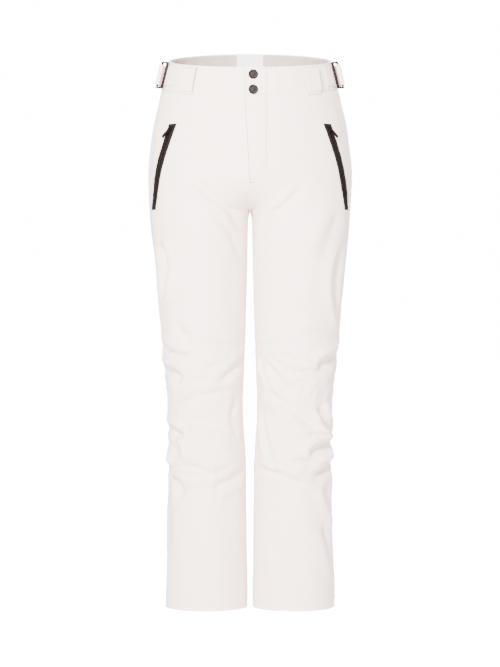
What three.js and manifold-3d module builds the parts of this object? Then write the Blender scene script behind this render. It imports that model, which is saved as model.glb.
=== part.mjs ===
// Insulated ski pants, worn size medium, in millimetres with +Z up.
// The wearer faces -Y, so the wearer's left is at +X. Heights inside this file are
// measured up from the hems; the finished group is lowered so that its origin is the
// middle of the waist opening. One half is shaped on the +X side and mirrored.

import * as THREE from 'three';
import { mergeVertices } from 'three/addons/utils/BufferGeometryUtils.js';
import Module from 'manifold-3d';

const wasm = await Module();
wasm.setup();

// ---- body sizes -------------------------------------------------------------
const INSEAM = 750;               // hem to crotch
const RISE = 285;                 // crotch to the waist edge at the side
const SIDE_HEIGHT = INSEAM + RISE;
const FRONT_DROP = 26;            // waist edge: centre front below the side
const BACK_LIFT = 28;             // waist edge: centre back above the side
const HIP_HALF_WIDTH = 192.5;
const HIP_HEIGHT = INSEAM + 56;   // height where the hips are widest
const WAIST_HALF_WIDTH = HIP_HALF_WIDTH - 35.5;
const BAND_FOOT_HALF_WIDTH = HIP_HALF_WIDTH - 20;
const WAIST_FRONT_DEPTH = 112;    // centre line to the front, at the waist edge
const CROTCH_FRONT_DEPTH = 122;
const WAIST_BACK_DEPTH = 118;
const SEAT_DEPTH = 134;
const CROTCH_RISE = 70;           // height over which the crotch curve turns upright
const THIGH_BLEND = 110;          // how far above and below the crotch the thigh turns into hip

// ---- leg sizes --------------------------------------------------------------
const KNEE_SEAM = Math.round(0.661 * INSEAM);     // height of the seam above the knee
const KNEE_HEIGHT = Math.round(0.507 * INSEAM);
const SHIN_SEAM = Math.round(0.344 * INSEAM);     // height of the seam below the knee
const THIGH_OUTSIDE = HIP_HALF_WIDTH - 12;        // centre line to the outer side of the leg
const THIGH_INSIDE = 4.7;         // centre line to the inner side of the leg
const KNEE_SEAM_OUTSIDE = HIP_HALF_WIDTH - 25.5;
const KNEE_SEAM_INSIDE = 8.6;
const KNEE_OUTSIDE = HIP_HALF_WIDTH - 36;
const KNEE_INSIDE = 12.8;
const SHIN_OUTSIDE = HIP_HALF_WIDTH - 38;
const SHIN_INSIDE = 7;
const HEM_OUTSIDE = HIP_HALF_WIDTH - 32.9;
const HEM_INSIDE = 4.8;
const CROTCH_LEG_FRONT = 110;     // depths of the leg in front of and behind its middle
const CROTCH_LEG_BACK = 122;
const THIGH_LEG_FRONT = 95;
const THIGH_LEG_BACK = 100;
const KNEE_HALF_DEPTH = 82;
const HEM_HALF_DEPTH = 81;

// ---- cloth layers, as depths below the outer surface --------------------------
const SEAM_GAP = 0.3;             // between pieces that are sewn together
const EDGE = 0.0008;              // the same as a share of the way round, each side of a seam
const COLUMNS = 18;               // facets round one leg
const SHELL = 3.4;                // padded outer shell
const BAND = 4;                   // waistband
const LAYER_GAP = 0.5;            // between layers that lie on each other
const POCKET_DEPTH = SHELL + 3;
const POCKET_CLOTH = 1.6;
const LINING_DEPTH = POCKET_DEPTH + POCKET_CLOTH + 0.6;
const LINING_CLOTH = 1.2;
const GAITER_CLOTH = 1.2;
const ELASTIC = 2;

// ---- waistband and fly --------------------------------------------------------
const BAND_HEIGHT = 51;
const FLY_EDGE = -9;              // free edge of the fly flap
const FLY_HINGE = 30.8;           // line on which the fly flap folds open
const FLY_BOTTOM = INSEAM + 50;
const FLAP = 3;                   // thickness of the fly flap
const SHIELD_RIGHT = -22;         // the shield's and the underlap's edges, from the centre line
const SHIELD_LEFT = 26;
const UNDERLAP_RIGHT = -16;
const STUD_SHANK = 1.4;           // radius of the post behind the stud
const ZIP_DEPTH = 12;             // fly zip below the outer surface
const SHIELD_DEPTH = 18;
const SHIELD_CLOTH = 2;
const UNDERLAP_DEPTH = BAND + 3;
const UNDERLAP = 2.4;
const SNAP_X = 6;
const SNAP_RADIUS = 9;
const SNAP_CAP = 2.4;
const SNAP_PITCH = BAND_HEIGHT - 23;
const SNAP_FROM_EDGE = 13.5;
const SNAP_FACETS = 16;
const STUD_RADIUS = 2.8;
const STUD_CLEARANCE = 0.7;

// ---- zips -----------------------------------------------------------------------
const ZIP_WIDTH = 11.4;           // the two stringers together
const ZIP_THICKNESS = 2;
const SLIDER_WEB = 0.8;
const SLIDER_PLATE = 1;
const SLIDER_WIDTH = 8;
const SLIDER_LENGTH = 10;
const ZIP_CLEARANCE = 0.3;
const PULLER_WIDTH = 5.6;
const PULLER_LENGTH = 24;
const PULLER_THICKNESS = 1.4;
const BAIL_WIDTH = 1.4;
const HIP_ZIP = {
  top: { u: 0.29, height: SIDE_HEIGHT - 129 },
  middle: { u: 0.352, height: SIDE_HEIGHT - 207 },
  bottom: { u: 0.418, height: SIDE_HEIGHT - 283 },
};
const HIP_ZIP_DEPTH = 2;          // the tape's middle below the outer surface

// ---- side adjusters ---------------------------------------------------------------
const RING_AT = 0.415;            // place of the ring's front bar, front 0 to back 1
const RING_HEIGHT = 52;
const RING_WIDTH = 20;
const RING_BAR = 3.2;
const RING_LEAN = 16;             // degrees that the ring stands off the waistband
const ANCHOR_REACH = 0.085;       // how far forward of the ring the anchor is sewn down
const ANCHOR_FREE = 0.006;
const STRAP_REACH = 0.26;         // how far behind the ring the strap is sewn down
const STRAP_FREE = 0.067;
const TAIL_REACH = 0.2;           // where the free tail ends
const TAIL_STAND = 5;             // free tail's end above the strap's own line
const WEBBING = 1.5;
const WEBBING_WIDTH = 38;
const BAND_CLEARANCE = 1.2;

// ---- belt loops ---------------------------------------------------------------------
const LOOP_WIDTH = 32;
const LOOP_CLOTH = 1.6;
const BELT_SPACE = 4.8;
const LOOP_SEWN_END = 5;

const SIDES = [['right', -1], ['left', 1]];

// ---- materials ------------------------------------------------------------------------
function cloth(color, roughness) {
  return new THREE.MeshStandardMaterial({ color, roughness, metalness: 0 });
}

const MATERIALS = {
  shell: cloth(0xf3efec, 0.8),
  lining: cloth(0xe2d7d5, 0.85),
  patch: cloth(0xf9f5f2, 0.7),
  gaiter: cloth(0xdedad7, 0.8),
  elastic: cloth(0xcfcac6, 0.85),
  zip: cloth(0x33291f, 0.6),
  metal: new THREE.MeshStandardMaterial({ color: 0x2e2621, roughness: 0.35, metalness: 0.7 }),
  plastic: new THREE.MeshStandardMaterial({ color: 0x241f1c, roughness: 0.45, metalness: 0 }),
};

// ---- smooth profiles through a few stations ---------------------------------------------
function stationSlope(stations, i) {
  if (i === 0 || i === stations.length - 1) {
    return 0;
  }
  const [h0, v0] = stations[i - 1];
  const [h1, v1] = stations[i];
  const [h2, v2] = stations[i + 1];
  const below = (v1 - v0) / (h1 - h0);
  const above = (v2 - v1) / (h2 - h1);
  return below * above <= 0 ? 0 : (2 * below * above) / (below + above);
}

function profile(stations) {
  const slopes = stations.map((_, i) => stationSlope(stations, i));
  return (height) => {
    const last = stations.length - 1;
    if (height <= stations[0][0]) {
      return stations[0][1];
    }
    if (height >= stations[last][0]) {
      return stations[last][1];
    }
    const i = stations.findIndex(([h], k) => k < last && height < stations[k + 1][0] && height >= h);
    const span = stations[i + 1][0] - stations[i][0];
    const t = (height - stations[i][0]) / span;
    const a = stations[i][1];
    const b = stations[i + 1][1];
    return a * (1 + 2 * t) * (1 - t) ** 2 + b * t * t * (3 - 2 * t)
      + span * (slopes[i] * t * (1 - t) ** 2 - slopes[i + 1] * t * t * (1 - t));
  };
}

const THIGH = (KNEE_SEAM + INSEAM) / 2 + 30;   // height where the thigh is measured
const WAIST_TOP = SIDE_HEIGHT + BACK_LIFT;

const legOutside = profile([
  [0, HEM_OUTSIDE], [SHIN_SEAM, SHIN_OUTSIDE], [KNEE_HEIGHT, KNEE_OUTSIDE],
  [KNEE_SEAM, KNEE_SEAM_OUTSIDE], [THIGH, THIGH_OUTSIDE], [HIP_HEIGHT, HIP_HALF_WIDTH],
]);
const legInside = profile([
  [0, HEM_INSIDE], [SHIN_SEAM, SHIN_INSIDE], [KNEE_HEIGHT, KNEE_INSIDE],
  [KNEE_SEAM, KNEE_SEAM_INSIDE], [THIGH, THIGH_INSIDE], [INSEAM - 16, 3.4], [INSEAM, 0],
]);
const legFront = profile([
  [0, HEM_HALF_DEPTH], [KNEE_HEIGHT, KNEE_HALF_DEPTH], [THIGH, THIGH_LEG_FRONT],
  [INSEAM, CROTCH_LEG_FRONT],
]);
const legBack = profile([
  [0, HEM_HALF_DEPTH], [KNEE_HEIGHT, KNEE_HALF_DEPTH], [THIGH, THIGH_LEG_BACK],
  [INSEAM, CROTCH_LEG_BACK],
]);
const hipHalfWidth = profile([
  [INSEAM, HIP_HALF_WIDTH - 1.5], [HIP_HEIGHT, HIP_HALF_WIDTH],
  [(HIP_HEIGHT + SIDE_HEIGHT - BAND_HEIGHT) / 2, HIP_HALF_WIDTH - 7],
  [SIDE_HEIGHT - FRONT_DROP - BAND_HEIGHT, BAND_FOOT_HALF_WIDTH],
  [WAIST_TOP, WAIST_HALF_WIDTH - 5],
]);
const hipBackDepth = profile([
  [INSEAM, CROTCH_LEG_BACK + 4], [HIP_HEIGHT + 30, SEAT_DEPTH], [WAIST_TOP, WAIST_BACK_DEPTH],
]);

function hipFrontDepth(height) {
  const t = (height - INSEAM) / (SIDE_HEIGHT - INSEAM);
  return CROTCH_FRONT_DEPTH + (WAIST_FRONT_DEPTH - CROTCH_FRONT_DEPTH) * t;
}

// ---- the outer surface ---------------------------------------------------------------------
// u runs round one half: 0 at the centre front or the inseam, 0.5 at the side seam and
// 1 at the centre back or the inseam again.
function smooth(t) {
  const c = Math.min(Math.max(t, 0), 1);
  return c * c * (3 - 2 * c);
}

function hipShare(u, height) {
  const t = Math.min(Math.max((height - INSEAM) / CROTCH_RISE, 0), 1);
  const crotchCurve = Math.sqrt(1 - (1 - t) ** 2);
  const thigh = smooth((height - INSEAM + THIGH_BLEND) / (2 * THIGH_BLEND));
  const awayFromCrotch = smooth(Math.min(u, 1 - u) / 0.2);
  return crotchCurve + (thigh - crotchCurve) * awayFromCrotch;
}

function surface(u, height) {
  const inside = legInside(height);
  const middle = (legOutside(height) + inside) / 2;
  const round = 2 * Math.PI * u;
  const leg = [
    middle - (middle - inside) * Math.cos(round),
    -(u < 0.5 ? legFront : legBack)(height) * Math.sin(round),
  ];
  const depth = u < 0.5 ? hipFrontDepth(height) : hipBackDepth(height);
  const hip = [hipHalfWidth(height) * Math.sin(Math.PI * u), -depth * Math.cos(Math.PI * u)];
  const s = hipShare(u, height);
  const x = leg[0] + (hip[0] - leg[0]) * s + SEAM_GAP / 2;
  return new THREE.Vector3(x, leg[1] + (hip[1] - leg[1]) * s, height);
}

function outward(u, height) {
  const du = 0.002;
  const dh = 0.5;
  const along = surface(Math.min(u + du, 1), height).sub(surface(Math.max(u - du, 0), height));
  const up = surface(u, height + dh).sub(surface(u, height - dh));
  return along.cross(up).normalize();
}

function layerPoint(u, height, depth) {
  const level = Math.max(height, 1);
  const p = surface(u, height).addScaledVector(outward(u, level), -depth);
  p.x = Math.max(p.x, SEAM_GAP / 2);
  p.z = height;
  return p;
}

function waistEdge(u) {
  const swing = u < 0.5 ? FRONT_DROP : BACK_LIFT;
  return SIDE_HEIGHT - swing * Math.cos(Math.PI * u);
}

function bandFoot(u) {
  return waistEdge(u) - BAND_HEIGHT;
}

// ---- closed cloth solids over part of the surface --------------------------------------------
function gridSolid(columns, rows, pointAt, isRing) {
  const positions = [];
  for (const layer of [0, 1]) {
    for (let i = 0; i < columns; i += 1) {
      for (let j = 0; j < rows; j += 1) {
        positions.push(...pointAt(i, j, layer).toArray());
      }
    }
  }
  const at = (i, j, layer) => (layer * columns + (i % columns)) * rows + j;
  const index = [];
  const quad = (a, b, c, d) => index.push(a, b, c, a, c, d);
  const across = isRing ? columns : columns - 1;
  for (let i = 0; i < across; i += 1) {
    for (let j = 0; j < rows - 1; j += 1) {
      quad(at(i, j, 0), at(i + 1, j, 0), at(i + 1, j + 1, 0), at(i, j + 1, 0));
      quad(at(i, j, 1), at(i, j + 1, 1), at(i + 1, j + 1, 1), at(i + 1, j, 1));
    }
    quad(at(i, 0, 1), at(i + 1, 0, 1), at(i + 1, 0, 0), at(i, 0, 0));
    quad(at(i, rows - 1, 0), at(i + 1, rows - 1, 0), at(i + 1, rows - 1, 1), at(i, rows - 1, 1));
  }
  if (!isRing) {
    for (let j = 0; j < rows - 1; j += 1) {
      quad(at(0, j, 1), at(0, j, 0), at(0, j + 1, 0), at(0, j + 1, 1));
      quad(at(across, j, 0), at(across, j, 1), at(across, j + 1, 1), at(across, j + 1, 0));
    }
  }
  const geometry = new THREE.BufferGeometry();
  geometry.setAttribute('position', new THREE.Float32BufferAttribute(positions, 3));
  geometry.setIndex(index);
  return geometry;
}

function clothPiece({ from, to, columns, heights, outer, thickness }) {
  const rows = heights(from).length;
  const pointAt = (i, j, layer) => {
    const u = from + ((to - from) * i) / columns;
    return layerPoint(u, heights(u)[j], outer + layer * thickness);
  };
  return gridSolid(columns + 1, rows, pointAt, false);
}

function clothRing({ columns, heights, outer, thickness }) {
  const rows = heights(0).length;
  const pointAt = (i, j, layer) => {
    const u = i / columns;
    return layerPoint(u, heights(u)[j], outer + layer * thickness);
  };
  return gridSolid(columns, rows, pointAt, true);
}

function valueAt(height, u) {
  return typeof height === 'function' ? height(u) : height;
}

function evenSteps(bottom, top, steps) {
  return Array.from({ length: steps + 1 }, (_, k) => bottom + ((top - bottom) * k) / steps);
}

// Every layer bends at the same heights, so that the layers nest. The rungs are closer
// together where the crotch curve turns.
function rungs(u) {
  const turn = [0, 1, 2, 3, 4].map((k) => INSEAM + CROTCH_RISE * (1 - Math.cos((k * Math.PI) / 8)));
  return [
    ...evenSteps(0, SHIN_SEAM, 4),
    ...evenSteps(SHIN_SEAM, KNEE_SEAM, 4).slice(1),
    ...evenSteps(KNEE_SEAM, INSEAM - 16, 4).slice(1),
    ...turn,
    ...evenSteps(INSEAM + CROTCH_RISE, bandFoot(u), 3).slice(1, 3),
  ];
}

function ladder(low, high) {
  const isInside = rungs(0.5).map((h) => h > valueAt(low, 0.5) + 4 && h < valueAt(high, 0.5) - 4);
  return (u) => {
    const between = rungs(u).filter((_, k) => isInside[k]);
    return [valueAt(low, u), ...between, valueAt(high, u)];
  };
}

// ---- solids, cuts and joins -------------------------------------------------------------------
function toSolid(geometry) {
  const bare = geometry.clone();
  bare.deleteAttribute('normal');
  bare.deleteAttribute('uv');
  const merged = mergeVertices(bare, 1e-4);
  return new wasm.Manifold(new wasm.Mesh({
    numProp: 3,
    vertProperties: new Float32Array(merged.attributes.position.array),
    triVerts: new Uint32Array(merged.index.array),
  }));
}

function toGeometry(solid) {
  const mesh = solid.getMesh();
  const geometry = new THREE.BufferGeometry();
  geometry.setAttribute('position', new THREE.BufferAttribute(mesh.vertProperties, 3));
  geometry.setIndex(new THREE.BufferAttribute(mesh.triVerts, 1));
  return geometry;
}

function cut(geometry, ...cutters) {
  return toGeometry(cutters.reduce((solid, c) => solid.subtract(toSolid(c)), toSolid(geometry)));
}

function join(...geometries) {
  return toGeometry(geometries.map(toSolid).reduce((a, b) => a.add(b)));
}

function box(low, high) {
  const size = new THREE.Vector3().subVectors(high, low);
  const middle = new THREE.Vector3().addVectors(low, high).multiplyScalar(0.5);
  return new THREE.BoxGeometry(size.x, size.y, size.z).translate(middle.x, middle.y, middle.z);
}

function mirrored(geometry) {
  const copy = geometry.clone();
  const p = copy.attributes.position;
  for (let i = 0; i < p.count; i += 1) {
    p.setX(i, -p.getX(i));
  }
  if (!copy.index) {
    copy.setIndex(Array.from({ length: p.count }, (_, k) => k));
  }
  const index = copy.index.array;
  for (let i = 0; i < index.length; i += 3) {
    [index[i], index[i + 1]] = [index[i + 1], index[i]];
  }
  copy.deleteAttribute('normal');
  return copy;
}

const pants = new THREE.Group();
pants.position.z = -SIDE_HEIGHT;

function add(name, geometry, material) {
  geometry.computeVertexNormals();
  const mesh = new THREE.Mesh(geometry, material);
  mesh.name = name;
  pants.add(mesh);
}

function addPair(name, geometryFor, material) {
  for (const [side, sign] of SIDES) {
    const geometry = geometryFor(sign);
    add(`${name}_${side}`, sign > 0 ? geometry : mirrored(geometry), material);
  }
}

// ---- zips: a curved or straight track with a slider and a puller ---------------------------------
// In a zip's own frame X is across the track, Y stands out of the cloth and Z runs up it.
function sweep(section, placeAt, steps) {
  const pointAt = (i, j) => new THREE.Vector3(...section[i]).applyMatrix4(placeAt(j / steps));
  const n = section.length;
  const positions = [];
  for (let j = 0; j <= steps; j += 1) {
    for (let i = 0; i < n; i += 1) {
      positions.push(...pointAt(i, j).toArray());
    }
  }
  const index = [];
  for (let j = 0; j < steps; j += 1) {
    for (let i = 0; i < n; i += 1) {
      const a = j * n + i;
      const b = j * n + ((i + 1) % n);
      index.push(a, b, b + n, a, b + n, a + n);
    }
  }
  for (let i = 1; i < n - 1; i += 1) {
    index.push(0, i + 1, i);
    index.push(steps * n, steps * n + i, steps * n + i + 1);
  }
  const geometry = new THREE.BufferGeometry();
  geometry.setAttribute('position', new THREE.Float32BufferAttribute(positions, 3));
  geometry.setIndex(index);
  return geometry;
}

function rectangle(x0, x1, y0, y1) {
  return [[x0, y0, 0], [x1, y0, 0], [x1, y1, 0], [x0, y1, 0]];
}

function stringer(side, placeAt, steps) {
  const near = SLIDER_WEB / 2 + ZIP_CLEARANCE;
  const far = ZIP_WIDTH / 2;
  const half = ZIP_THICKNESS / 2;
  const section = side > 0 ? rectangle(near, far, -half, half) : rectangle(-far, -near, -half, half);
  return sweep(section, placeAt, steps);
}

function extruded(points, holes, depth) {
  const shape = new THREE.Shape(points.map(([x, y]) => new THREE.Vector2(x, y)));
  for (const hole of holes) {
    shape.holes.push(new THREE.Path(hole.map(([x, y]) => new THREE.Vector2(x, y))));
  }
  return new THREE.ExtrudeGeometry(shape, { depth, bevelEnabled: false });
}

const PLATE_Y = ZIP_THICKNESS / 2 + ZIP_CLEARANCE;
const PLATE_TOP = PLATE_Y + SLIDER_PLATE;
const PULLER_PIVOT = { y: PLATE_TOP + 0.5 + PULLER_THICKNESS / 2, z: SLIDER_LENGTH / 2 - 3.4 };
const EYE_LENGTH = 4.6;
const EYE_BAR = 1.4;

function slider() {
  const plate = SLIDER_WIDTH / 2;
  const web = SLIDER_WEB / 2;
  const outline = [
    [-plate, -PLATE_TOP], [plate, -PLATE_TOP], [plate, -PLATE_Y], [web, -PLATE_Y],
    [web, PLATE_Y], [plate, PLATE_Y], [plate, PLATE_TOP], [-plate, PLATE_TOP],
    [-plate, PLATE_Y], [-web, PLATE_Y], [-web, -PLATE_Y], [-plate, -PLATE_Y],
  ];
  const body = extruded(outline, [], SLIDER_LENGTH).translate(0, 0, -SLIDER_LENGTH / 2);
  const { y, z } = PULLER_PIVOT;
  const room = PULLER_THICKNESS / 2 + 0.5;
  const foot = PLATE_TOP - 0.4;
  const legBottom = z - room - 1.2;
  const legTop = z + room + 1.2;
  const roof = y + room + 1.1;
  const staple = [
    [legBottom, foot], [z - room, foot], [z - room, y + room], [z + room, y + room],
    [z + room, foot], [legTop, foot], [legTop, roof], [legBottom, roof],
  ];
  const bail = extruded(staple, [], BAIL_WIDTH).translate(0, 0, -BAIL_WIDTH / 2);
  const turn = new THREE.Matrix4().makeBasis(
    new THREE.Vector3(0, 0, 1), new THREE.Vector3(0, 1, 0), new THREE.Vector3(-1, 0, 0),
  );
  return join(body, bail.applyMatrix4(turn));
}

function puller(length) {
  const half = PULLER_WIDTH / 2;
  const tip = half - 1.2;
  const eye = BAIL_WIDTH / 2 + 0.6;
  const top = EYE_BAR / 2;
  const outline = [
    [-half, top - 0.6], [-half, top - length + 3], [-tip, top - length], [tip, top - length],
    [half, top - length + 3], [half, top - 0.6], [half - 0.6, top], [-half + 0.6, top],
  ];
  const hole = [
    [-eye, -EYE_BAR / 2], [eye, -EYE_BAR / 2], [eye, -EYE_LENGTH], [-eye, -EYE_LENGTH],
  ];
  const plate = extruded(outline, [hole], PULLER_THICKNESS).translate(0, 0, -PULLER_THICKNESS / 2);
  const { y, z } = PULLER_PIVOT;
  return plate.rotateX(Math.PI / 2).translate(0, y, z);
}

// The hip zip lies on a circular arc through three places on the surface, so that its
// slider turns about the arc's middle.
function hipZipTrack() {
  const [a, b, c] = [HIP_ZIP.bottom, HIP_ZIP.middle, HIP_ZIP.top]
    .map(({ u, height }) => layerPoint(u, height, HIP_ZIP_DEPTH));
  const ab = new THREE.Vector3().subVectors(a, b);
  const cb = new THREE.Vector3().subVectors(c, b);
  const axis = new THREE.Vector3().crossVectors(cb, ab).normalize();
  const across = new THREE.Vector3().crossVectors(ab, cb);
  const middle = new THREE.Vector3()
    .addScaledVector(cb, ab.lengthSq()).addScaledVector(ab, -cb.lengthSq())
    .cross(across).divideScalar(2 * across.lengthSq()).add(b);
  const skin = outward(HIP_ZIP.middle.u, HIP_ZIP.middle.height);
  const arm = new THREE.Vector3().subVectors(b, middle);
  const radius = arm.length();
  const radial = arm.clone().normalize();
  const tangent = new THREE.Vector3().crossVectors(axis, radial);
  if (tangent.z < 0) {
    tangent.negate();
  }
  const out = skin.addScaledVector(tangent, -skin.dot(tangent)).normalize();
  const width = new THREE.Vector3().crossVectors(out, tangent);
  const start = new THREE.Matrix4().makeBasis(width, out, tangent).setPosition(b);
  const spin = new THREE.Vector3().crossVectors(radial, tangent).normalize();
  const angleTo = (p) => {
    const q = new THREE.Vector3().subVectors(p, middle);
    return Math.atan2(q.dot(tangent), q.dot(radial));
  };
  const place = (angle) => new THREE.Matrix4()
    .makeTranslation(middle.x, middle.y, middle.z)
    .multiply(new THREE.Matrix4().makeRotationAxis(spin, angle))
    .multiply(new THREE.Matrix4().makeTranslation(-middle.x, -middle.y, -middle.z))
    .multiply(start);
  return { place, middle, spin, radius, low: angleTo(a), high: angleTo(c) };
}

const hipTrack = hipZipTrack();
const HIP_SLIDER_ANGLE = hipTrack.high - (SLIDER_LENGTH / 2 + 2) / hipTrack.radius;

function hipSlot() {
  const half = ZIP_WIDTH / 2 + SEAM_GAP;
  const over = 0.4 / hipTrack.radius;
  const span = hipTrack.high - hipTrack.low + 2 * over;
  const placeAt = (t) => hipTrack.place(hipTrack.low - over + span * t);
  return sweep(rectangle(-half, half, -14, 14), placeAt, 10);
}

function hipStringer(side) {
  const span = hipTrack.high - hipTrack.low;
  return stringer(side, (t) => hipTrack.place(hipTrack.low + span * t), 10);
}

// ---- shell panels of one leg --------------------------------------------------------------------

function frontCut(reach) {
  const low = new THREE.Vector3(-1, -2 * CROTCH_FRONT_DEPTH, FLY_BOTTOM);
  return box(low, new THREE.Vector3(reach, -CROTCH_FRONT_DEPTH / 2, WAIST_TOP));
}

function flyCut(sign) {
  return frontCut(SEAM_GAP + (sign > 0 ? FLY_HINGE : -FLY_EDGE));
}

function frontThigh(sign) {
  const panel = clothPiece({
    from: EDGE, to: 0.5 - EDGE, columns: COLUMNS / 2, outer: 0, thickness: SHELL,
    heights: ladder(KNEE_SEAM + SEAM_GAP, (u) => bandFoot(u) - SEAM_GAP),
  });
  return cut(panel, flyCut(sign), hipSlot());
}

function addLegPanels() {
  const half = { columns: COLUMNS / 2, outer: 0, thickness: SHELL };
  const front = { ...half, from: EDGE, to: 0.5 - EDGE };
  const back = { ...half, from: 0.5 + EDGE, to: 1 - EDGE };
  addPair('front_thigh_panel', frontThigh, MATERIALS.shell);
  addPair('front_knee_panel', () => clothPiece({
    ...front, heights: ladder(SHIN_SEAM + SEAM_GAP, KNEE_SEAM),
  }), MATERIALS.shell);
  addPair('front_shin_panel', () => clothPiece({
    ...front, heights: ladder(0, SHIN_SEAM),
  }), MATERIALS.shell);
  addPair('back_seat_panel', () => clothPiece({
    ...back, heights: ladder(KNEE_SEAM + SEAM_GAP, (u) => bandFoot(u) - SEAM_GAP),
  }), MATERIALS.shell);
  addPair('back_calf_panel', () => clothPiece({
    ...back, heights: ladder(0, KNEE_SEAM),
  }), MATERIALS.shell);
}

// ---- inside the legs ------------------------------------------------------------------------------
const FLY_LINING_CUT = 14;        // the lining stops this far from the centre line
const HEM_FACING_HEIGHT = 24;
const LINING_HEM = 34;
const GAITER_TOP = 215;
const GAITER_HEM = 20;
const ELASTIC_HEIGHT = 16;

function addLegInsides() {
  addPair('leg_lining', () => cut(clothPiece({
    from: 0.004, to: 0.996, columns: COLUMNS, outer: LINING_DEPTH, thickness: LINING_CLOTH,
    heights: ladder(LINING_HEM, (u) => bandFoot(u) - 2),
  }), frontCut(FLY_LINING_CUT)), MATERIALS.lining);
  addPair('hem_facing', () => clothRing({
    columns: COLUMNS, outer: SHELL + LAYER_GAP, thickness: 1.6,
    heights: ladder(1, HEM_FACING_HEIGHT),
  }), MATERIALS.shell);
  const gaiterDepth = LINING_DEPTH + LINING_CLOTH + LAYER_GAP;
  addPair('snow_gaiter', () => clothRing({
    columns: COLUMNS, outer: gaiterDepth, thickness: GAITER_CLOTH,
    heights: ladder(GAITER_HEM, GAITER_TOP),
  }), MATERIALS.gaiter);
  addPair('gaiter_elastic', () => clothRing({
    columns: COLUMNS, outer: gaiterDepth + GAITER_CLOTH + LAYER_GAP, thickness: ELASTIC,
    heights: ladder(GAITER_HEM, GAITER_HEM + ELASTIC_HEIGHT),
  }), MATERIALS.elastic);
}

const POCKET_FOOT = (3 * (INSEAM - 16) + KNEE_SEAM) / 4;

function pocketTop(u) {
  const foot = INSEAM + CROTCH_RISE;
  return foot + ((bandFoot(u) - foot) * 2) / 3;
}

function addHipPockets() {
  addPair('hip_zip_front_stringer', () => hipStringer(1), MATERIALS.zip);
  addPair('hip_zip_back_stringer', () => hipStringer(-1), MATERIALS.zip);
  const place = hipTrack.place(HIP_SLIDER_ANGLE);
  addPair('hip_zip_slider', () => slider().applyMatrix4(place), MATERIALS.metal);
  addPair('hip_zip_puller', () => puller(PULLER_LENGTH).applyMatrix4(place), MATERIALS.metal);
  addPair('pocket_bag', () => clothPiece({
    from: 4 / COLUMNS, to: 8 / COLUMNS, columns: 4, outer: POCKET_DEPTH, thickness: POCKET_CLOTH,
    heights: ladder(POCKET_FOOT, pocketTop),
  }), MATERIALS.lining);
}

// ---- fly --------------------------------------------------------------------------------------------
// The front close to the centre line, by its distance from that line.
function frontPoint(x, height, depth) {
  const u = Math.asin(Math.abs(x) / hipHalfWidth(height)) / Math.PI;
  const p = surface(u, height).addScaledVector(outward(u, height), -depth);
  p.x = x;
  p.z = height;
  return p;
}

function frontPiece({ left, right, columns, bottom, top, rows, depth, thickness }) {
  const pointAt = (i, j, layer) => {
    const x = left + ((right - left) * i) / columns;
    const u = Math.asin(Math.abs(x) / WAIST_HALF_WIDTH) / Math.PI;
    const high = typeof top === 'function' ? top(u) : top;
    const low = typeof bottom === 'function' ? bottom(u) : bottom;
    return frontPoint(x, low + ((high - low) * j) / rows, depth + layer * thickness);
  };
  return gridSolid(columns + 1, rows + 1, pointAt, false);
}

const FRONT_TOP = SIDE_HEIGHT - FRONT_DROP;
const FLY_ZIP_X = 4;
const FLY_ZIP_TOP = FRONT_TOP - BAND_HEIGHT - 4;
const FLY_ZIP_BOTTOM = FLY_BOTTOM + 12;

function flyTrack() {
  const low = frontPoint(FLY_ZIP_X, FLY_ZIP_BOTTOM, ZIP_DEPTH);
  const high = frontPoint(FLY_ZIP_X, FLY_ZIP_TOP, ZIP_DEPTH);
  const up = new THREE.Vector3().subVectors(high, low).normalize();
  const width = new THREE.Vector3(-1, 0, 0);
  const out = new THREE.Vector3().crossVectors(up, width).normalize();
  const placeAt = (t) => new THREE.Matrix4().makeBasis(width, out, up)
    .setPosition(new THREE.Vector3().lerpVectors(low, high, t));
  return { placeAt, up, length: low.distanceTo(high) };
}

const fly = flyTrack();
const FLY_SLIDER_AT = 1 - (SLIDER_LENGTH / 2 + 1) / fly.length;
const FLY_PULLER_LENGTH = 20;

function addFly() {
  add('fly_flap', frontPiece({
    left: FLY_EDGE, right: FLY_HINGE - SEAM_GAP, columns: 3, rows: 4, depth: 0, thickness: FLAP,
    bottom: FLY_BOTTOM + SEAM_GAP, top: (u) => bandFoot(u) - SEAM_GAP,
  }), MATERIALS.shell);
  add('fly_shield', frontPiece({
    left: SHIELD_RIGHT, right: SHIELD_LEFT, columns: 3, rows: 3, depth: SHIELD_DEPTH, thickness: SHIELD_CLOTH,
    bottom: FLY_BOTTOM + 2, top: FLY_ZIP_TOP,
  }), MATERIALS.shell);
  add('fly_zip_stringer_right', stringer(1, fly.placeAt, 1), MATERIALS.zip);
  add('fly_zip_stringer_left', stringer(-1, fly.placeAt, 1), MATERIALS.zip);
  const place = fly.placeAt(FLY_SLIDER_AT);
  add('fly_zip_slider', slider().applyMatrix4(place), MATERIALS.metal);
  add('fly_zip_puller', puller(FLY_PULLER_LENGTH).applyMatrix4(place), MATERIALS.metal);
}

// ---- waistband ------------------------------------------------------------------------------------------
const SNAP_HEIGHTS = [FRONT_TOP - SNAP_FROM_EDGE, FRONT_TOP - SNAP_FROM_EDGE - SNAP_PITCH];
const SHANK = 1.6;
const FRONT_LEAN = Math.atan((CROTCH_FRONT_DEPTH - WAIST_FRONT_DEPTH) / (SIDE_HEIGHT - INSEAM));

// A snap part is turned about its own axis, which stands out of the cloth.
function snapPart(profilePoints, height, depth) {
  const points = profilePoints.map(([r, y]) => new THREE.Vector2(r, y));
  const at = frontPoint(SNAP_X, height, depth);
  return new THREE.LatheGeometry(points, SNAP_FACETS)
    .rotateZ(Math.PI)
    .rotateX(-FRONT_LEAN)
    .translate(at.x, at.y, at.z);
}

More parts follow.
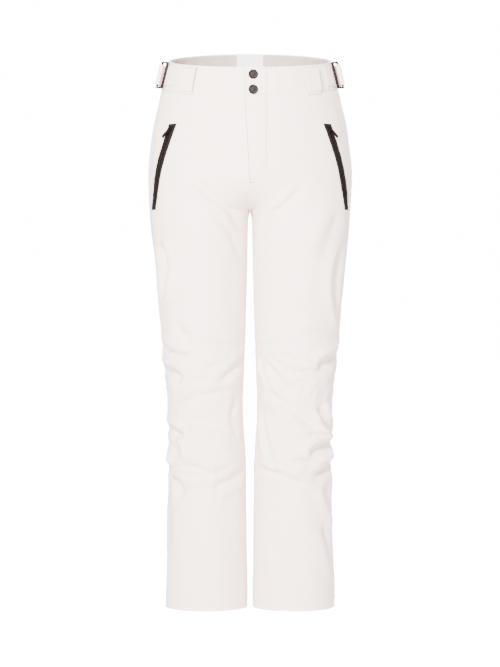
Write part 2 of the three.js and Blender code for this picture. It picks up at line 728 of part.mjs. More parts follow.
function snapHole(height, radius) {
  const at = frontPoint(SNAP_X, height, BAND / 2);
  return new THREE.CylinderGeometry(radius, radius, 4 * BAND, SNAP_FACETS)
    .rotateX(-FRONT_LEAN)
    .translate(at.x, at.y, at.z);
}

// The lip stands proud round a sunk middle.
function snapCap(height) {
  const top = SNAP_CAP;
  const stand = 0.4;
  return snapPart([
    [0, -BAND + 0.6], [SHANK, -BAND + 0.6], [SHANK, stand], [SNAP_RADIUS - 0.6, stand],
    [SNAP_RADIUS, stand + 0.6], [SNAP_RADIUS, top - 0.5], [SNAP_RADIUS - 0.8, top],
    [SNAP_RADIUS - 2.2, top], [SNAP_RADIUS - 3, top - 0.7], [0, top - 0.7],
  ], height, 0);
}

const SOCKET_RADIUS = 6;

function snapSocket(height) {
  const inner = STUD_RADIUS + STUD_CLEARANCE;
  return snapPart([
    [inner, -2], [SOCKET_RADIUS, -2], [SOCKET_RADIUS, -0.5], [inner, -0.5], [inner, -2],
  ], height, BAND);
}

function snapStud(height) {
  return snapPart([
    [0, -UNDERLAP - 1], [STUD_SHANK, -UNDERLAP - 1], [STUD_SHANK, 0.3], [SOCKET_RADIUS - 1, 0.3],
    [SOCKET_RADIUS - 1, 0.65], [STUD_RADIUS - 0.5, 0.65], [STUD_RADIUS, 1.3],
    [STUD_RADIUS - 0.4, 2], [0, 2],
  ], height, UNDERLAP_DEPTH);
}

function bandFront(sign) {
  const band = clothPiece({
    from: EDGE, to: 0.5 - EDGE, columns: COLUMNS / 2, outer: 0, thickness: BAND,
    heights: ladder(bandFoot, waistEdge),
  });
  return cut(band, flyCut(sign));
}

function addWaistband() {
  addPair('waistband_front', bandFront, MATERIALS.shell);
  const backHalf = { from: 0.5 + EDGE, columns: COLUMNS / 2, outer: 0, thickness: BAND };
  add('waistband_back', backSpan(backHalf, bandFoot, waistEdge), MATERIALS.shell);
  const tab = frontPiece({
    left: FLY_EDGE, right: FLY_HINGE - SEAM_GAP, columns: 3, rows: 1, depth: 0, thickness: BAND,
    bottom: bandFoot, top: waistEdge,
  });
  const shanks = SNAP_HEIGHTS.map((h) => snapHole(h, SHANK + SEAM_GAP));
  add('waistband_overlap_tab', cut(tab, ...shanks), MATERIALS.shell);
  const under = frontPiece({
    left: UNDERLAP_RIGHT, right: SHIELD_LEFT, columns: 3, rows: 1, depth: UNDERLAP_DEPTH, thickness: UNDERLAP,
    bottom: (u) => bandFoot(u) + 2, top: (u) => waistEdge(u) - 3,
  });
  const posts = SNAP_HEIGHTS.map((h) => snapHole(h, STUD_SHANK + SEAM_GAP));
  add('waistband_underlap_tab', cut(under, ...posts), MATERIALS.shell);
  SNAP_HEIGHTS.forEach((height, i) => {
    const place = ['upper', 'lower'][i];
    add(`snap_cap_${place}`, snapCap(height), MATERIALS.metal);
    add(`snap_socket_${place}`, snapSocket(height), MATERIALS.metal);
    add(`snap_stud_${place}`, snapStud(height), MATERIALS.metal);
  });
}

// One piece across the centre back: u runs to 1 on the +X side and back on the other.
function backSpan({ from, columns, outer, thickness }, bottom, top) {
  const pointAt = (i, j, layer) => {
    const k = i <= columns ? i : 2 * columns - i;
    const u = from + ((1 - from) * k) / columns;
    const height = j === 0 ? bottom(u) : top(u);
    const p = surface(u, height).addScaledVector(outward(u, height), -outer - layer * thickness);
    p.z = height;
    p.x = k === columns ? 0 : (p.x - SEAM_GAP / 2) * (i < columns ? 1 : -1);
    return p;
  };
  return gridSolid(2 * columns + 1, 2, pointAt, false);
}

const BAND_LINING = 1.2;
const PATCH_HEIGHT = 42;
const PATCH_FROM = 1 - (0.5 - EDGE) * (2 / COLUMNS);

function addWaistLining() {
  const depth = BAND + LAYER_GAP;
  const foot = (u) => bandFoot(u) + 1;
  const edge = (u) => waistEdge(u) - 2;
  add('waistband_lining_back', backSpan(
    { from: 0.5 + EDGE, columns: COLUMNS / 2, outer: depth, thickness: BAND_LINING }, foot, edge,
  ), MATERIALS.lining);
  addPair('waistband_lining_front', () => clothPiece({
    from: 2 / COLUMNS, to: 0.5 - EDGE, columns: COLUMNS / 2 - 2, outer: depth, thickness: BAND_LINING,
    heights: ladder(foot, edge),
  }), MATERIALS.lining);
  add('blank_inner_patch', backSpan(
    { from: PATCH_FROM, columns: 1, outer: depth + BAND_LINING + SEAM_GAP, thickness: 0.8 },
    (u) => edge(u) - PATCH_HEIGHT, edge,
  ), MATERIALS.patch);
}

// ---- side adjusters -----------------------------------------------------------------
// Plan outlines are drawn in a frame whose Z is the ring's front bar, leaning as the band does.
function adjusterFrame() {
  const middle = waistEdge(RING_AT) - BAND_HEIGHT / 2;
  const skin = outward(RING_AT, middle);
  const up = surface(RING_AT, middle + 10).sub(surface(RING_AT, middle - 10));
  up.addScaledVector(skin, -up.dot(skin)).normalize();
  const along = new THREE.Vector3().crossVectors(skin, up).normalize();
  const eye = RING_BAR * 0.71 + SEAM_GAP + WEBBING;
  const at = surface(RING_AT, middle).addScaledVector(skin, BAND_CLEARANCE + eye);
  return new THREE.Matrix4().makeBasis(along, skin, up).setPosition(at);
}

const adjuster = adjusterFrame();
const EYE_RADIUS = RING_BAR * 0.71 + SEAM_GAP;

// The waistband's own line in that frame, raised by a stand-off.
function bandLine(from, to, steps, stand) {
  const inverse = adjuster.clone().invert();
  return Array.from({ length: steps + 1 }, (_, k) => {
    const u = from + ((to - from) * k) / steps;
    const height = waistEdge(u) - BAND_HEIGHT / 2;
    const p = surface(u, height).addScaledVector(outward(u, height), stand).applyMatrix4(inverse);
    return [p.x, p.y];
  });
}

function circle(x, y, radius, steps) {
  return Array.from({ length: steps }, (_, k) => {
    const a = (2 * Math.PI * k) / steps;
    return [x + radius * Math.cos(a), y + radius * Math.sin(a)];
  });
}

function strip(line, thickness) {
  const left = [];
  const right = [];
  line.forEach(([x, y], i) => {
    const [x0, y0] = line[Math.max(i - 1, 0)];
    const [x1, y1] = line[Math.min(i + 1, line.length - 1)];
    const length = Math.hypot(x1 - x0, y1 - y0);
    const nx = (-(y1 - y0) / length) * (thickness / 2);
    const ny = ((x1 - x0) / length) * (thickness / 2);
    left.push([x + nx, y + ny]);
    right.push([x - nx, y - ny]);
  });
  return [...right, ...left.reverse()];
}

function upright(outline, holes, width) {
  return extruded(outline, holes, width).translate(0, 0, -width / 2);
}

const STAND = BAND_CLEARANCE + WEBBING / 2;
const RING_TURN = THREE.MathUtils.degToRad(RING_LEAN);
const REAR_BAR = [
  -(RING_WIDTH - RING_BAR) * Math.cos(RING_TURN),
  (RING_WIDTH - RING_BAR) * Math.sin(RING_TURN),
];

function ringAnchor() {
  const line = bandLine(RING_AT - ANCHOR_REACH, RING_AT - ANCHOR_FREE, 5, STAND);
  const band = upright(strip(line, WEBBING), [], WEBBING_WIDTH);
  const eye = upright(
    circle(0, 0, EYE_RADIUS + WEBBING, 14), [circle(0, 0, EYE_RADIUS, 14).reverse()], WEBBING_WIDTH,
  );
  const hole = upright(circle(0, 0, EYE_RADIUS, 14), [], 2 * WEBBING_WIDTH);
  return cut(join(band, eye), hole).applyMatrix4(adjuster);
}

function ring() {
  const w = RING_WIDTH - RING_BAR / 2;
  const h = RING_HEIGHT / 2;
  const b = RING_BAR;
  const outline = [[-w, -h], [b / 2, -h], [b / 2, h], [-w, h]];
  const window = [[-w + b, -h + b], [-w + b, h - b], [-b / 2, h - b], [-b / 2, -h + b]];
  return extruded(outline, [window], b)
    .translate(0, 0, -b / 2)
    .rotateX(Math.PI / 2)
    .rotateZ(-RING_TURN)
    .applyMatrix4(adjuster);
}

const WRAP = RING_BAR * 0.71 + 1 + WEBBING / 2;
const TAIL_GAP = 0.8;

// The strap comes forward along the band, goes through the ring and turns round its rear bar.
function strap() {
  const [x, y] = REAR_BAR;
  const base = bandLine(RING_AT + STRAP_REACH, RING_AT + STRAP_FREE, 7, STAND);
  const turn = [];
  for (let k = 0; k <= 6; k += 1) {
    const a = -Math.PI / 2 + (Math.PI * k) / 6;
    turn.push([x + WRAP * Math.cos(a), y + WRAP * Math.sin(a)]);
  }
  return upright(strip([...base, ...turn], WEBBING), [], WEBBING_WIDTH).applyMatrix4(adjuster);
}

function tailLine() {
  const [x, y] = REAR_BAR;
  const at = RING_AT + TAIL_REACH;
  const end = bandLine(at, at, 1, STAND + TAIL_STAND)[0];
  const start = [x - TAIL_GAP, y + WRAP];
  const bulge = [
    (start[0] * 2 + end[0]) / 3, (start[1] * 2 + end[1]) / 3 + 1.4,
  ];
  const curve = new THREE.QuadraticBezierCurve(
    new THREE.Vector2(...start), new THREE.Vector2(...bulge), new THREE.Vector2(...end),
  );
  return curve.getPoints(5).map((p) => [p.x, p.y]);
}

function strapTail() {
  return upright(strip(tailLine(), WEBBING), [], WEBBING_WIDTH).applyMatrix4(adjuster);
}

function addAdjusters() {
  addPair('adjuster_anchor', ringAnchor, MATERIALS.shell);
  addPair('adjuster_ring', ring, MATERIALS.plastic);
  addPair('adjuster_strap', strap, MATERIALS.shell);
  addPair('adjuster_strap_tail', strapTail, MATERIALS.shell);
}

// ---- belt loops -----------------------------------------------------------------------
function beltLoop(u) {
  const top = waistEdge(u);
  const bottom = bandFoot(u) - 4;
  const middle = (top + bottom) / 2;
  const skin = outward(u, middle);
  const up = surface(u, top).sub(surface(u, bottom));
  up.addScaledVector(skin, -up.dot(skin)).normalize();
  const along = new THREE.Vector3().crossVectors(up, skin).normalize();
  const half = (top - bottom) / 2;
  const foot = 0.4;
  const roof = foot + BELT_SPACE;
  const outline = [
    [-half, foot], [-half + LOOP_SEWN_END, foot], [-half + LOOP_SEWN_END, roof],
    [half - LOOP_SEWN_END, roof], [half - LOOP_SEWN_END, foot], [half, foot],
    [half, roof - 1], [half - 3, roof + LOOP_CLOTH], [-half + 3, roof + LOOP_CLOTH],
    [-half, roof - 1],
  ];
  const at = surface(u, middle).addScaledVector(skin, 0.6);
  const basis = new THREE.Matrix4().makeBasis(up, skin, along).setPosition(at);
  return extruded(outline, [], LOOP_WIDTH).translate(0, 0, -LOOP_WIDTH / 2).applyMatrix4(basis);
}

const FRONT_LOOP_AT = 0.243;

function addBeltLoops() {
  addPair('belt_loop_front', () => beltLoop(FRONT_LOOP_AT), MATERIALS.shell);
  add('belt_loop_back', beltLoop(1), MATERIALS.shell);
}

addLegPanels();
addLegInsides();
addHipPockets();
addFly();
addWaistband();
addWaistLining();
addAdjusters();
addBeltLoops();

export default pants;
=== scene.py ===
"""Insulated ski pants: padded shell cloth, waistband, fly, hip zips, side adjusters and linings."""

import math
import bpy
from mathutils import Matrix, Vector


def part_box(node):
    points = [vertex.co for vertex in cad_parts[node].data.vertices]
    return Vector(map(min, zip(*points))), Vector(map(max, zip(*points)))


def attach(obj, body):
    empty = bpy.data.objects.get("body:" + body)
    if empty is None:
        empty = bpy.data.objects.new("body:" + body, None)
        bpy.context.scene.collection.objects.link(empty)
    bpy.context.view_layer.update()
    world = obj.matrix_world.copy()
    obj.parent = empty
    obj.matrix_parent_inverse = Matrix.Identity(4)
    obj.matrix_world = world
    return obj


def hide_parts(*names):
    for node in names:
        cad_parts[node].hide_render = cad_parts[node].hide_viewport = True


bl_info = {
    "name": "Ski Pants",
    "version": (1, 0, 0),
    "blender": (4, 5, 0),
    "location": "View3D > Sidebar > Ski Pants",
    "description": "Sews a pair of insulated ski pants over their packed frame",
    "category": "Object",
}

import bpy
import numpy as np
from mathutils import Matrix, Vector

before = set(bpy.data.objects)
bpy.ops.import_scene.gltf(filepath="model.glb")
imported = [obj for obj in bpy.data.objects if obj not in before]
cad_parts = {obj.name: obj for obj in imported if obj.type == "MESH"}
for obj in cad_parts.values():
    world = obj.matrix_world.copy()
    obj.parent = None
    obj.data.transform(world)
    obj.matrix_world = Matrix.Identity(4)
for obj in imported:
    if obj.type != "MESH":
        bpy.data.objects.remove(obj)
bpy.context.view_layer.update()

MM = 0.001
SIDES = {"right": -1, "left": 1}  # the wearer's sides; the wearer's left is at +X

# ---- levels above the hems, and the fly flap's edges, taken from the frame --------------------
HEM_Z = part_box("back_calf_panel_left")[0].z
SIDE_EDGE = -HEM_Z
FRONT_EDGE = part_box("waistband_overlap_tab")[1].z - HEM_Z
BACK_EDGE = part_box("waistband_back")[1].z - HEM_Z
KNEE_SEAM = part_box("front_thigh_panel_left")[0].z - HEM_Z
SHIN_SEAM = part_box("front_knee_panel_left")[0].z - HEM_Z
FLY_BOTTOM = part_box("fly_flap")[0].z - HEM_Z
BAND_HEIGHT = 51 * MM  # the one size here that isn't read from the frame
FLY_TOP = FRONT_EDGE - BAND_HEIGHT
FLY_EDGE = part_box("fly_flap")[0].x
FLY_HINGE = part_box("fly_flap")[1].x

# ---- the body's other sizes -------------------------------------------------------------------
INSEAM = 750 * MM
HIP_HEIGHT = 806 * MM
KNEE = 380 * MM
THIGH = (KNEE_SEAM + INSEAM) / 2 + 30 * MM
CROTCH_RISE = 70 * MM
THIGH_BLEND = 110 * MM
WAIST_FRONT = 112 * MM
CROTCH_FRONT = 122 * MM
EDGE = 0.0008  # half a seam as a share of the way round
RING = 500 * MM  # the usual way round one leg
COLUMNS = 18  # the frame's columns round one half
FRONT_AT = 0.03  # the way round at which the front's levels are taken
SEAM_GAP = 0.02 * MM
CENTRE_GAP = 0.15 * MM  # from the centre to either half

# ---- sizes of what is sewn on -------------------------------------------------------------------
HEM_STITCH = 7 * MM
BAND_STITCH = 5.5 * MM  # from either rim of the waistband
TOPSTITCH = 5 * MM  # from a seam
ZIP_STITCH = 2.4 * MM  # from a lip of the hip zip
ZIP_FOOT = (0.418, 752 * MM)  # the way round and the height
ZIP_MIDDLE = (0.352, 828 * MM)
ZIP_HEAD = (0.29, 906 * MM)
ZIP_DEPTH = 2 * MM
SLOT_HALF = 6 * MM
SLOT_ROUND = 0.92  # the way round at the hip zip, as a share of RING
FLY_CURVE = 40 * MM  # height of the turn at the foot of the fly
FLY_FOOT = FLY_BOTTOM - 5 * MM
SNAP_X = 6 * MM
SNAP_HEIGHTS = (FRONT_EDGE - 13.5 * MM, FRONT_EDGE - 41.5 * MM)


def profile(stations):
    """A smooth curve through (height, value) stations, flat at both ends and never overshooting."""
    heights = np.array([s[0] for s in stations])
    values = np.array([s[1] for s in stations])
    steps = np.diff(values) / np.diff(heights)
    slopes = np.zeros(len(values))
    same = steps[:-1] * steps[1:] > 0
    both = steps[:-1] + steps[1:]
    slopes[1:-1][same] = (2 * steps[:-1] * steps[1:])[same] / both[same]

    def value(height):
        h = np.clip(height, heights[0], heights[-1])
        i = np.clip(np.searchsorted(heights, h, side="right") - 1, 0, len(heights) - 2)
        span = heights[i + 1] - heights[i]
        t = (h - heights[i]) / span
        ends = values[i] * (1 + 2 * t) * (1 - t) ** 2 + values[i + 1] * t * t * (3 - 2 * t)
        return ends + span * (slopes[i] * t * (1 - t) ** 2 - slopes[i + 1] * t * t * (1 - t))

    return value


def millimetres(stations):
    return profile([(h, v * MM) for h, v in stations])


leg_outside = millimetres([
    (0, 159.6), (SHIN_SEAM, 154.5), (KNEE, 156.5), (KNEE_SEAM, 167), (THIGH, 180.5),
    (HIP_HEIGHT, 192.5),
])
leg_inside = millimetres([
    (0, 4.8), (SHIN_SEAM, 7), (KNEE, 12.8), (KNEE_SEAM, 8.6), (THIGH, 4.7),
    (INSEAM - 16 * MM, 3.4), (INSEAM, 0),
])
leg_front = millimetres([(0, 81), (KNEE, 82), (THIGH, 95), (INSEAM, 110)])
leg_back = millimetres([(0, 81), (KNEE, 82), (THIGH, 100), (INSEAM, 122)])
hip_half_width = millimetres([
    (INSEAM, 191), (HIP_HEIGHT, 192.5), ((HIP_HEIGHT + SIDE_EDGE - BAND_HEIGHT) / 2, 185.5),
    (FLY_TOP, 172.5), (BACK_EDGE, 152),
])
hip_back = millimetres([(INSEAM, 126), (HIP_HEIGHT + 30 * MM, 134), (BACK_EDGE, 118)])


def smooth(t):
    c = np.clip(t, 0, 1)
    return c * c * (3 - 2 * c)


def hip_front(height):
    t = (height - INSEAM) / (SIDE_EDGE - INSEAM)
    return CROTCH_FRONT + (WAIST_FRONT - CROTCH_FRONT) * t


def surface(u, height):
    """The smooth outer surface of the +X half: u is 0 at the front or inseam, 0.5 at the side, 1 behind."""
    u, height = np.broadcast_arrays(np.asarray(u, float), np.asarray(height, float))
    inside = leg_inside(height)
    middle = (leg_outside(height) + inside) / 2
    turn = 2 * np.pi * u
    leg_x = middle - (middle - inside) * np.cos(turn)
    leg_y = -np.where(u < 0.5, leg_front(height), leg_back(height)) * np.sin(turn)
    hip_x = hip_half_width(height) * np.sin(np.pi * u)
    hip_y = -np.where(u < 0.5, hip_front(height), hip_back(height)) * np.cos(np.pi * u)
    t = np.clip((height - INSEAM) / CROTCH_RISE, 0, 1)
    crotch = np.sqrt(1 - (1 - t) ** 2)
    thigh = smooth((height - INSEAM + THIGH_BLEND) / (2 * THIGH_BLEND))
    share = crotch + (thigh - crotch) * smooth(np.minimum(u, 1 - u) / 0.2)
    x = leg_x + (hip_x - leg_x) * share + CENTRE_GAP
    y = leg_y + (hip_y - leg_y) * share
    return np.stack([x, y, height + HEM_Z], axis=-1)


def unit(v):
    return v / np.maximum(np.linalg.norm(v, axis=-1, keepdims=True), 1e-12)


def outward(u, height):
    du, dh = 0.002, 0.5 * MM
    along = surface(np.minimum(u + du, 1), height) - surface(np.maximum(u - du, 0), height)
    up = surface(u, height + dh) - surface(u, height - dh)
    return unit(np.cross(along, up))


def waist_edge(u):
    swing = np.where(np.asarray(u) < 0.5, SIDE_EDGE - FRONT_EDGE, BACK_EDGE - SIDE_EDGE)
    return SIDE_EDGE - swing * np.cos(np.pi * np.asarray(u))


def band_foot(u):
    return waist_edge(u) - BAND_HEIGHT


# ---- layers: how deep a cloth lies under the shell's face, and how thick it is ------------------
LEG_LINING = (8.8 * MM, 1.2 * MM)
POCKET_BAG = (6.2 * MM, 1.4 * MM)
HEM_FACING = (4.1 * MM, 1.4 * MM)
SNOW_GAITER = (10.6 * MM, 1.0 * MM)
GAITER_ELASTIC = (12.4 * MM, 1.7 * MM)
FLY_FLAP = (0, 2.6 * MM)
FLY_SHIELD = (18 * MM, 2 * MM)
BAND = (0, 4 * MM)
UNDERLAP = (7 * MM, 2.2 * MM)
BAND_LINING = (4.6 * MM, 1.2 * MM)
INNER_PATCH = (6.2 * MM, 0.7 * MM)
GATHERS = 60  # ripples of the gaiter round one leg


# ---- folds --------------------------------------------------------------------------------------
FOLD_DEPTH = 2.3  # all the folds together, deeper or shallower
# A fold is a soft valley with a ridge beside it. Its path is given by how far across the front
# of the leg it runs, 0 at the inseam and 1 at the side, and by its height in millimetres.
FOLDS = {
    "left": [
        ([(0.04, 484), (0.12, 436), (0.18, 412)], 5, 3.0, 1),
        ([(0.08, 478), (0.20, 446), (0.34, 421), (0.47, 396)], 8, 3.6, 1),
        ([(0.15, 482), (0.26, 464), (0.34, 455)], 5, 1.8, 1),
        ([(0.20, 482), (0.38, 474), (0.51, 463), (0.63, 455)], 5, 2.4, 1),
        ([(0.40, 444), (0.59, 447), (0.82, 442)], 6, 2.2, -1),
        ([(0.74, 452), (0.88, 464), (1.0, 478), (1.06, 480)], 10, 6.0, -1),
        ([(0.45, 424), (0.62, 427), (0.74, 424)], 7, 1.2, -1),
        ([(0.05, 420), (0.28, 396), (0.48, 374), (0.68, 352), (0.78, 342)], 8, 3.0, 1),
        ([(0.06, 392), (0.08, 350), (0.14, 312), (0.22, 280), (0.33, 258)], 6, 2.6, 1),
        ([(0.02, 266), (0.19, 260), (0.36, 252), (0.54, 240), (0.80, 218)], 6, 3.2, -1),
        ([(0.80, 384), (0.86, 362), (0.92, 345), (1.0, 324)], 7, 6.5, 1),
        ([(0.93, 396), (0.97, 372), (1.03, 350)], 7, 4.0, 1),
        ([(0.62, 326), (0.82, 327), (1.0, 332)], 5, 2.2, -1),
        ([(0.71, 282), (0.80, 300), (0.99, 312), (1.05, 314)], 9, 5.0, -1),
        ([(0.41, 274), (0.63, 279), (0.90, 271), (1.0, 282)], 6, 2.6, -1),
        ([(0.73, 248), (0.90, 258), (1.0, 276), (1.06, 290)], 9, 5.2, -1),
        ([(0.90, 238), (0.96, 205), (1.0, 170)], 12, 4.5, 1),
        ([(0.86, 168), (0.93, 132), (0.97, 96), (1.0, 60)], 12, 3.0, 1),
        ([(0.95, 690), (0.90, 620), (0.95, 560), (1.0, 520)], 9, 3.6, 1),
        ([(1.0, 720), (1.02, 640), (1.0, 560)], 9, 4.0, -1),
        ([(0.84, 748), (0.78, 700), (0.76, 650)], 14, 1.8, 1),
        ([(0.35, 796), (0.22, 758), (0.12, 724), (0.06, 690)], 7, 2.4, 1),
        ([(0.50, 512), (0.75, 516), (0.98, 510)], 9, 1.6, -1),
        ([(0.30, 130), (0.42, 90), (0.46, 40)], 18, 1.4, 1),
    ],
    "right": [
        ([(1.04, 500), (0.98, 492), (0.88, 480), (0.76, 475), (0.58, 473)], 7, 4.2, 1),
        ([(0.0, 482), (0.11, 454), (0.21, 438), (0.34, 422)], 8, 3.4, -1),
        ([(0.20, 455), (0.36, 456), (0.50, 450)], 6, 1.6, -1),
        ([(1.06, 452), (0.97, 446), (0.86, 440), (0.76, 428)], 10, 5.8, 1),
        ([(0.79, 418), (0.60, 427), (0.44, 426)], 7, 2.0, -1),
        ([(0.94, 378), (0.70, 390), (0.58, 406), (0.54, 416)], 9, 2.6, 1),
        ([(0.56, 397), (0.37, 407), (0.14, 412)], 6, 1.8, 1),
        ([(0.70, 358), (0.50, 351), (0.32, 350)], 7, 1.8, -1),
        ([(1.05, 346), (0.97, 337), (0.88, 330), (0.77, 324)], 8, 5.4, 1),
        ([(1.0, 318), (0.94, 303), (0.88, 278)], 8, 5.0, -1),
        ([(0.92, 322), (0.85, 300), (0.86, 284)], 6, 2.6, 1),
        ([(1.05, 262), (0.94, 266), (0.70, 268), (0.53, 260), (0.42, 254)], 7, 4.0, -1),
        ([(0.42, 254), (0.30, 263), (0.18, 264)], 6, 2.2, -1),
        ([(0.42, 254), (0.53, 247), (0.72, 251)], 6, 1.8, 1),
        ([(0.40, 230), (0.22, 242), (0.02, 260)], 8, 3.0, -1),
        ([(1.0, 256), (0.90, 238), (0.79, 212)], 12, 5.0, 1),
        ([(0.97, 200), (0.99, 150), (0.96, 110)], 14, 3.0, -1),
        ([(0.10, 330), (0.14, 360), (0.08, 400)], 8, 1.6, 1),
        ([(0.93, 690), (0.88, 655), (0.92, 610), (0.95, 580)], 8, 4.4, 1),
        ([(1.02, 700), (1.0, 620), (1.02, 540)], 10, 3.0, -1),
        ([(0.80, 540), (0.74, 518), (0.64, 506)], 9, 2.6, 1),
        ([(0.37, 812), (0.25, 782), (0.12, 745), (0.06, 706)], 8, 3.2, -1),
        ([(0.28, 762), (0.16, 712), (0.07, 655)], 8, 1.8, -1),
        ([(0.70, 130), (0.62, 90), (0.60, 30)], 18, 1.4, 1),
    ],
}
# The same for the back of the leg, which crumples behind the knee and under the seat.
BACK_FOLDS = [
    ([(0.05, 470), (0.30, 452), (0.62, 456), (0.95, 476)], 9, 4.6, -1),
    ([(0.02, 436), (0.28, 420), (0.55, 426), (0.80, 418)], 8, 4.0, 1),
    ([(0.20, 396), (0.48, 384), (0.78, 392), (1.0, 404)], 9, 4.4, -1),
    ([(0.04, 372), (0.25, 352), (0.50, 348)], 8, 3.2, 1),
    ([(0.40, 330), (0.70, 322), (1.0, 336)], 9, 3.4, -1),
    ([(0.05, 296), (0.35, 284), (0.66, 292)], 9, 2.8, 1),
    ([(0.45, 262), (0.72, 254), (0.98, 262)], 10, 2.6, -1),
    ([(0.06, 735), (0.22, 718), (0.48, 722), (0.74, 742)], 11, 4.6, -1),
    ([(0.04, 702), (0.20, 676), (0.44, 668), (0.64, 676)], 11, 3.2, -1),
    ([(0.05, 660), (0.18, 620), (0.26, 570)], 12, 2.2, 1),
    ([(0.90, 690), (0.84, 620), (0.88, 540)], 13, 2.6, 1),
    ([(0.60, 200), (0.56, 120), (0.62, 40)], 18, 1.8, 1),
]


def around(across):
    """How far round the leg a place across the front lies; beyond 1 it goes on round the side."""
    front = math.acos(1 - 2 * min(max(across, 0), 1)) / (2 * math.pi)
    return front + max(across - 1, 0)


def smooth_path(points, steps=5):
    """A Catmull-Rom curve through the points."""
    p = np.array([points[0], *points, points[-1]], float)
    out = []
    for i in range(1, len(p) - 2):
        for t in np.arange(steps) / steps:
            a = 2 * p[i] + (p[i + 1] - p[i - 1]) * t
            b = (2 * p[i - 1] - 5 * p[i] + 4 * p[i + 1] - p[i + 2]) * t * t
            c = (3 * p[i] - p[i - 1] - 3 * p[i + 1] + p[i + 2]) * t**3
            out.append((a + b + c) / 2)
    return np.array([*out, p[-2]])


def fold_height(u, height, path, width, depth, lean):
    """A valley along the path with a taller ridge on one side, fading out at both ends."""
    whole = np.zeros(np.shape(u))
    x, y = u * RING, height
    reach = 5 * width
    low, high = path.min(0) - reach, path.max(0) + reach
    near = (x > low[0]) & (x < high[0]) & (y > low[1]) & (y < high[1])
    if not near.any():
        return whole
    x, y = x[near], y[near]
    best = np.full(x.shape, 1e9)
    signed = np.zeros(x.shape)
    along = np.zeros(x.shape)
    pieces = len(path) - 1
    for i in range(pieces):
        ax, ay = path[i]
        bx, by = path[i + 1]
        dx, dy = bx - ax, by - ay
        length = math.hypot(dx, dy) + 1e-9
        t = np.clip(((x - ax) * dx + (y - ay) * dy) / length**2, 0, 1)
        distance = np.hypot(x - ax - t * dx, y - ay - t * dy)
        side = np.sign((x - ax) * dy - (y - ay) * dx)
        closer = distance < best
        best = np.where(closer, distance, best)
        signed = np.where(closer, distance * side, signed)
        along = np.where(closer, (i + t) / pieces, along)
    d = signed * lean / width
    shape = -np.exp(-(np.abs(d) ** 1.5)) + 0.66 * np.exp(-(((d - 2.0) / 1.3) ** 2))
    shape += 0.26 * np.exp(-(((d + 2.2) / 1.6) ** 2))
    fade = smooth(along / 0.28) * smooth((1 - along) / 0.28)
    taut = 1 - 0.8 * np.exp(-(((u[near] - 0.5) / 0.06) ** 2))
    whole[near] = FOLD_DEPTH * depth * shape * fade * taut
    return whole


def soft_waves(u, height, seed, amount):
    """Long shallow waves that run mostly up and down, as hanging cloth has."""
    random = np.random.default_rng(seed)
    total = np.zeros(np.shape(u))
    for _ in range(9):
        across = random.uniform(34, 90) * MM
        up = random.uniform(180, 420) * MM * random.choice([-1, 1])
        phase = random.uniform(0, 2 * np.pi)
        total = total + np.sin(2 * np.pi * (u * RING / across + height / up) + phase)
    return amount * total / 3


def crumple(u, height, seed, amount):
    """Small sharp creases that cross each other at all angles, as stiff padded cloth takes."""
    random = np.random.default_rng(seed)
    x, y = u * RING, np.asarray(height, float)
    total = np.zeros(np.shape(x))
    for _ in range(7):
        angle = random.uniform(0, np.pi)
        length = random.uniform(26, 70) * MM
        phase, bend = random.uniform(0, 2 * np.pi, 2)
        turned_x = x * np.cos(angle) + y * np.sin(angle)
        turned_y = y * np.cos(angle) - x * np.sin(angle)
        warp = 1.7 * np.sin(2 * np.pi * turned_y / (2.3 * length) + bend)
        crease = 1 - np.abs(np.sin(np.pi * turned_x / length + warp + phase))
        patch = smooth(0.5 + 0.9 * np.sin(2 * np.pi * turned_y / (3.1 * length) + phase))
        total = total + patch * crease**3
    return amount * (total - 0.7)


def relief(side, u, height):
    """How far the cloth stands off the smooth surface."""
    seed = 11 if side == "left" else 23
    outer = np.exp(-(((u - 0.5) / 0.1) ** 2))
    below_band = smooth((band_foot(u) - height) / (60 * MM))
    away = smooth((np.minimum(u, 1 - u)) / 0.03)
    total = soft_waves(u, height, seed, 0.35 * MM) + soft_waves(u, height, seed + 1, 1.3 * MM) * outer
    back = smooth((u - 0.5) / 0.06)
    total = total + soft_waves(u, height, seed + 2, 0.9 * MM) * back
    knee = smooth((height - 190 * MM) / (60 * MM)) * smooth((530 * MM - height) / (60 * MM))
    total = total + crumple(u, height, seed + 5, 0.55 * MM) * (0.4 + 1.1 * knee)
    folds = [(points, w, d, lean, False) for points, w, d, lean in FOLDS[side]]
    folds += [(points, w, d, lean, True) for points, w, d, lean in BACK_FOLDS]
    shift = 0 if side == "left" else 9 * MM
    for points, width, depth, lean, behind in folds:
        path = [
            ((1 - around(t) if behind else around(t)) * RING, h * MM - (shift if behind else 0))
            for t, h in points
        ]
        total = total + fold_height(
            u, height, smooth_path(path), width * MM, depth * MM, -lean if behind else lean
        )
    return total * below_band * away


# ---- seams --------------------------------------------------------------------------------------
def groove(distance):
    """The dip that a line of sewing pulls into padded cloth, by the distance from it."""
    return -1.0 * MM * np.exp(-((distance / (1.5 * MM)) ** 2)) - 0.55 * MM * np.exp(
        -((distance / (6 * MM)) ** 2)
    )


def puckers(distance, along, seed):
    """Short ripples that cross a seam where the thread has drawn it up."""
    wave = np.sin(2 * np.pi * along / (11 * MM) + seed + 2.2 * np.sin(along / (17 * MM) + seed))
    wave = wave + 0.6 * np.sin(2 * np.pi * along / (23 * MM) + 2 * seed)
    return 0.28 * MM * wave * np.exp(-((distance / (9 * MM)) ** 2))


